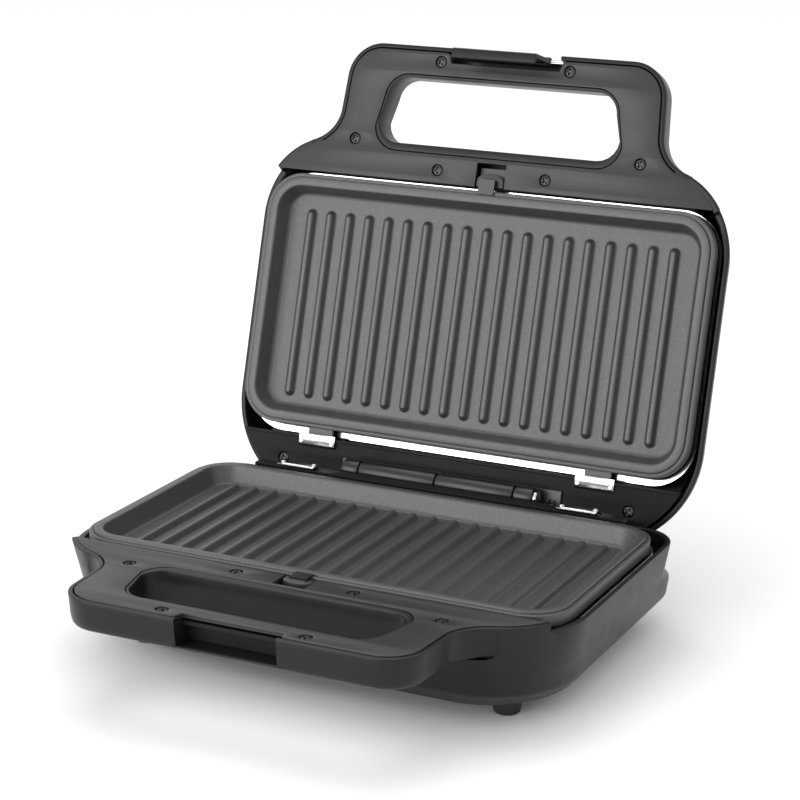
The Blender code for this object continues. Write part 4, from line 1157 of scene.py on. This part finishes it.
@dataclass
class ReleaseButton:
    """The sliding plate release: an arched pad on a flat slide."""

    half: Half
    half_width: float = 8.4
    rear: float = 179.2
    front: float = 187.0
    arch: float = 4.0
    slide_front: float = 190.4

    def build(self) -> None:
        """Make the pad, its grip ridges and its slide."""
        arch = arc((0.0, self.front - self.arch), (self.half_width, self.arch), 180, 0, 25)
        outline = np.concatenate([[(self.half_width, self.rear), (-self.half_width, self.rear)], arch])
        button = Solid().sheet([outline], -5.0, -0.5, 0.35)
        for d in (181.2, 182.8, 184.4):
            button.bar([(d - 0.35, -0.6), (d + 0.35, -0.6), (d + 0.15, -0.2), (d - 0.15, -0.2)], -5.0, 5.0)
        slide = [(self.rear, -6.4), (self.slide_front, -6.4), (self.slide_front, -4.8), (self.rear, -4.8)]
        button.bar(slide, -self.half_width, self.half_width)
        name = f"{self.half.name}_release_button"
        button.piece(name + "_pad", self.half, "button", f"{self.half.name}_button", (name,))


@dataclass
class Hinge:
    """The rear hinge: a pinned barrel of four black knuckles."""

    base: Half
    lid: Half
    axis: tuple = (3.0, -1.03)
    radius: float = 6.2
    pin: float = 2.2
    joints: tuple = (-65.0, -54.0, -4.0, 46.0, 58.0)
    gap: float = 0.6
    leaf_d: tuple = (5.9, 7.7)

    def knuckle(self, solid: Solid, start: float, end: float, centre: tuple) -> Solid:
        """A turned sleeve with eased ends round the pin."""
        ease, bore, r = 0.7, self.pin + CLEAR, self.radius
        profile = [(start, bore), (start, r - ease), (start + ease * 0.3, r - ease * 0.3),
                   (start + ease, r), (end - ease, r), (end - ease * 0.3, r - ease * 0.3),
                   (end, r - ease), (end, bore)]
        return solid.turned(profile, "x", centre, 48)

    def bracket(self) -> None:
        """The base's half: two end knuckles, their tabs and the leaf on the rear wall."""
        a, b, _, c, e = self.joints
        leaf = Solid().block((a, e), self.leaf_d, (-24.0, -8.6))
        for start, end in ((a, b - self.gap / 2), (c + self.gap / 2, e)):
            leaf.block((start + 0.3, end - 0.3), self.leaf_d, (-10.0, -4.4))
            self.knuckle(leaf, start, end, self.axis)
        leaf.piece("hinge_bracket_leaf", self.base, "hinge", "base", ("hinge_bracket",), 0.3)
        d, h = self.axis
        rod = Solid().turned([(a + 0.5, 0), (a + 0.5, 1.8), (a + 0.9, self.pin), (e + 0.3, self.pin),
                              (e + 0.3, 4.3), (e + 0.5, 4.65), (e + 1.3, 4.7), (e + 2.0, 4.2),
                              (e + 2.4, 3.0), (e + 2.5, 0)], "x", (d, h), 40)
        rod.piece("hinge_pin_rod", self.base, "steel", "base", ("hinge_pin",))

    def sleeves(self) -> None:
        """The lid's half: two long knuckles on webs and screwed feet."""
        _, a, b, c, _ = self.joints
        d = self.axis[0]
        gap = self.lid.panel_gap
        h = gap - self.axis[1]
        for word, start, end, tail in (("left", a, b, -71.0), ("right", b, c, 71.0)):
            start, end = start + self.gap / 2, end - self.gap / 2
            sleeve = self.knuckle(Solid(), start, end, (d, h))
            sleeve.block((start + 0.2, end - 0.2), (d - 5.5, d + 5.0), (CLEAR, h - 4.2))
            xs = tuple(sorted((tail, end if tail < 0 else start)))
            sleeve.block(xs, (d - 7.5, d + 6.0), (CLEAR, CLEAR + 1.4))
            sleeve.piece(f"lid_hinge_sleeve_{word}", self.lid, "hinge", "lid", (f"lid_hinge_{word}",), 0.3)
        screw(self.lid, "lid", "hinge_screw", (66.0, 1.0), 30.0, top=3.2, radius=2.6)

    def build(self) -> None:
        """Make both halves of the hinge."""
        self.bracket()
        self.sleeves()


@dataclass
class Latch:
    """The flip latch in the lid's notch: a blade with a hook, turning on a steel pin."""

    half: Half
    d: float = 255.5
    h: float = -5.0
    half_width: float = 26.5
    reach: float = 19.0
    thick: float = 3.0
    barrel: float = 3.0
    pin: float = 1.2
    notch: float = 34.5

    def build(self) -> None:
        """Make the blade with its ridges, its barrel and the pin."""
        inner, top = self.d - 1.3, self.reach
        outer = inner + self.thick
        hook = inner - 2.8
        profile = [(inner, self.h), (outer, self.h), (outer, top - 1.4), (outer - 0.4, top - 0.4),
                   (outer - 1.4, top), (hook, top), (hook, top - 1.9), (hook + 0.6, top - 2.5),
                   (inner - 0.6, top - 2.5), (inner, top - 3.1)]
        blade = Solid().bar(profile, -self.half_width, self.half_width)
        for x in (-20.0, -10.0, 0.0, 10.0, 20.0):
            blade.bar([(outer - 0.1, 6.0), (outer + 0.5, 6.4), (outer + 0.5, 14.6), (outer - 0.1, 15.0)],
                      x - 0.6, x + 0.6)
        w, r, bore = self.half_width, self.barrel, self.pin + CLEAR
        blade.turned([(-w, bore), (-w, r - 0.4), (-w + 0.4, r), (w - 0.4, r), (w, r - 0.4), (w, bore)],
                     "x", (self.d, self.h), 36)
        blade.piece("latch_blade", self.half, "shell", "latch_flap", ("latch",), 0.25)
        end = self.notch + 2.6
        rod = Solid().turned([(-end, 0), (-end, 0.9), (-end + 0.3, self.pin), (end - 0.3, self.pin),
                              (end, 0.9), (end, 0)], "x", (self.d, self.h), 20)
        rod.piece("latch_pin_rod", self.half, "steel", "lid", ("latch_pin",))


@dataclass
class Fittings:
    """Feet, gland and lamp lenses."""

    base: Half
    lid: Half
    depth: float = 52.8
    foot_height: float = 10.0
    foot_radius: float = 8.4
    foot_x: float = 109.0
    foot_d: tuple = (157.0, 18.0)

    def feet(self) -> None:
        """Four tapered rubber feet with a rounded sole and a seating groove."""
        top, floor = -self.depth - CLEAR, -self.depth - self.foot_height
        r = self.foot_radius
        profile = [(floor, 0), (floor, r - 2.6), (floor + 0.25, r - 1.9), (floor + 1.0, r - 1.35),
                   (floor + 5.0, r - 0.7), (top - 1.4, r - 0.15), (top - 1.2, r - 0.6),
                   (top - 0.8, r - 0.6), (top - 0.6, r), (top, r), (top, 0)]
        for end, d in zip(("front", "rear"), self.foot_d):
            for side, x in (("left", -self.foot_x), ("right", self.foot_x)):
                foot = Solid().turned(profile, "h", (x, d), 44)
                foot.piece(f"{end}_{side}_rubber_foot", self.base, "rubber", "base", (f"foot_{end}_{side}",))

    def gland(self) -> None:
        """The rubber bushing in the rear wall: a flange, a neck and an open bore."""
        r = 6.0
        profile = [(-9.0, 3.6), (-9.0, r + 1.9), (-8.6, r + 2.4), (-7.2, r + 2.5), (-6.6, r + 2.2),
                   (-6.6, r), (1.0, r), (1.0, 3.6)]
        bush = Solid().turned(profile, "d", (-95.0, -42.0), 40)
        bush.piece("cord_bushing", self.base, "rubber", "base", ("cord_gland",))

    def lenses(self) -> None:
        """Two domed lenses in the crown of the lid."""
        top = -28.7
        for word, x, finish in (("power", -11.0, "red"), ("ready", 11.0, "green")):
            profile = [(top, 0), (top, 1.6), (top + 0.25, 2.7), (top + 0.8, 3.4), (top + 1.3, 3.6),
                       (top + 3.8, 3.6), (top + 3.8, 0)]
            lens = Solid().turned(profile, "h", (x, 158.0), 36)
            lens.piece(f"{word}_lamp", self.lid, finish, "lid", (f"{word}_lens",))

    def build(self) -> None:
        """Make all of them."""
        self.feet()
        self.gland()
        self.lenses()


# ---------------------------------------------------------------- studio

@dataclass
class Studio:
    """White floor, soft light and the camera."""

    azimuth: float = 26.0
    elevation: float = 16.42
    roll: float = 0.32
    target: tuple = (0.0104, -0.0009, 0.1357)
    distance: float = 1.3013
    focal: float = 107.1
    lamps: tuple = (
        ("key", (-0.95, -1.85, 0.62), (1.7, 1.5), 28.0),
        ("top", (-0.3, 0.5, 2.2), (1.6, 1.6), 14.0),
    )

    def floor(self) -> None:
        """A wide pale floor."""
        mesh = bpy.data.meshes.new("studio_floor")
        reach = 14.0
        mesh.from_pydata([(-reach, -reach, 0), (reach, -reach, 0), (reach, reach, 0), (-reach, reach, 0)],
                         [], [(0, 1, 2, 3)])
        paint = bpy.data.materials.new("studio_white")
        paint.use_nodes = True
        principled = paint.node_tree.nodes["Principled BSDF"]
        principled.inputs["Base Color"].default_value = (0.93, 0.93, 0.93, 1.0)
        principled.inputs["Roughness"].default_value = 0.9
        principled.inputs["Specular IOR Level"].default_value = 0.1
        mesh.materials.append(paint)
        thing = bpy.data.objects.new("studio_floor", mesh)
        bpy.context.scene.collection.objects.link(thing)
        thing.location.z = -0.0002

    def lights(self) -> None:
        """A bright even surround and large soft lamps aimed at the press."""
        world = bpy.data.worlds.new("surround")
        world.use_nodes = True
        world.node_tree.nodes["Background"].inputs[0].default_value = (1.0, 1.0, 1.0, 1.0)
        world.node_tree.nodes["Background"].inputs[1].default_value = 1.0
        bpy.context.scene.world = world
        for name, place, size, power in self.lamps:
            lamp = bpy.data.lights.new(name, "AREA")
            lamp.shape = "RECTANGLE"
            lamp.size, lamp.size_y = size
            lamp.energy = power
            holder = bpy.data.objects.new(name, lamp)
            holder.location = place
            aim = Vector((0.0, 0.0, 0.12)) - Vector(place)
            holder.rotation_euler = aim.to_track_quat("-Z", "Y").to_euler()
            bpy.context.scene.collection.objects.link(holder)

    def camera(self) -> None:
        """A long lens from the front right, a little above the press."""
        a, e = math.radians(self.azimuth), math.radians(self.elevation)
        back = Vector((math.sin(a) * math.cos(e), -math.cos(a) * math.cos(e), math.sin(e)))
        lens = bpy.data.cameras.new("camera")
        lens.lens = self.focal
        lens.sensor_width = 36.0
        holder = bpy.data.objects.new("camera", lens)
        holder.rotation_mode = "QUATERNION"
        holder.location = Vector(self.target) + back * self.distance
        aim = (-back).to_track_quat("-Z", "Y")
        holder.rotation_quaternion = aim @ Quaternion((0.0, 0.0, 1.0), math.radians(self.roll))
        bpy.context.scene.collection.objects.link(holder)
        bpy.context.scene.camera = holder

    def build(self) -> None:
        """Set up the studio."""
        bpy.context.scene.view_settings.view_transform = "Standard"
        self.floor()
        self.lights()
        self.camera()


NODE_FINISHES = {"base_element": "heater", "lid_element": "heater", "thermostat": "insulator",
                 "thermal_fuse": "insulator", "terminal_block": "insulator",
                 "base_catch_tongue": "hinge", "lid_catch_tongue": "hinge"}


def dress_nodes() -> None:
    """Give the CAD nodes that stay in view their finishes."""
    for name, finish in NODE_FINISHES.items():
        node = frame["nodes"][name]
        node.data.materials.clear()
        node.data.materials.append(material(finish))
        LOG.info("%s dressed as %s", name, finish)


def main() -> None:
    """Build the press and the studio round it."""
    logging.basicConfig(level=logging.INFO)
    hinge = next(joint for joint in frame["joints"] if joint["name"] == "lid_hinge")
    pin_y, pin_z = (value / MM for value in hinge["pos_m"][1:])
    base = Half(Side.BASE, pin_y, pin_z, 0.0)
    lid = Half(Side.LID, pin_y, pin_z, -math.radians(hinge["range_deg"][0]))
    for half in (base, lid):
        housing = Housing(half)
        housing.build()
        Cover(housing).build()
        GrillPlate(half, PLATE_RISE[half.side]).build()
        Pan(half, PAN_FLOOR[half.side]).build()
        PlateClips(half).build()
        ReleaseButton(half).build()
    Strips(base, lid).build()
    Hinge(base, lid).build()
    Latch(lid).build()
    Fittings(base, lid).build()
    dress_nodes()
    Studio().build()


if __name__ == "__main__":
    main()
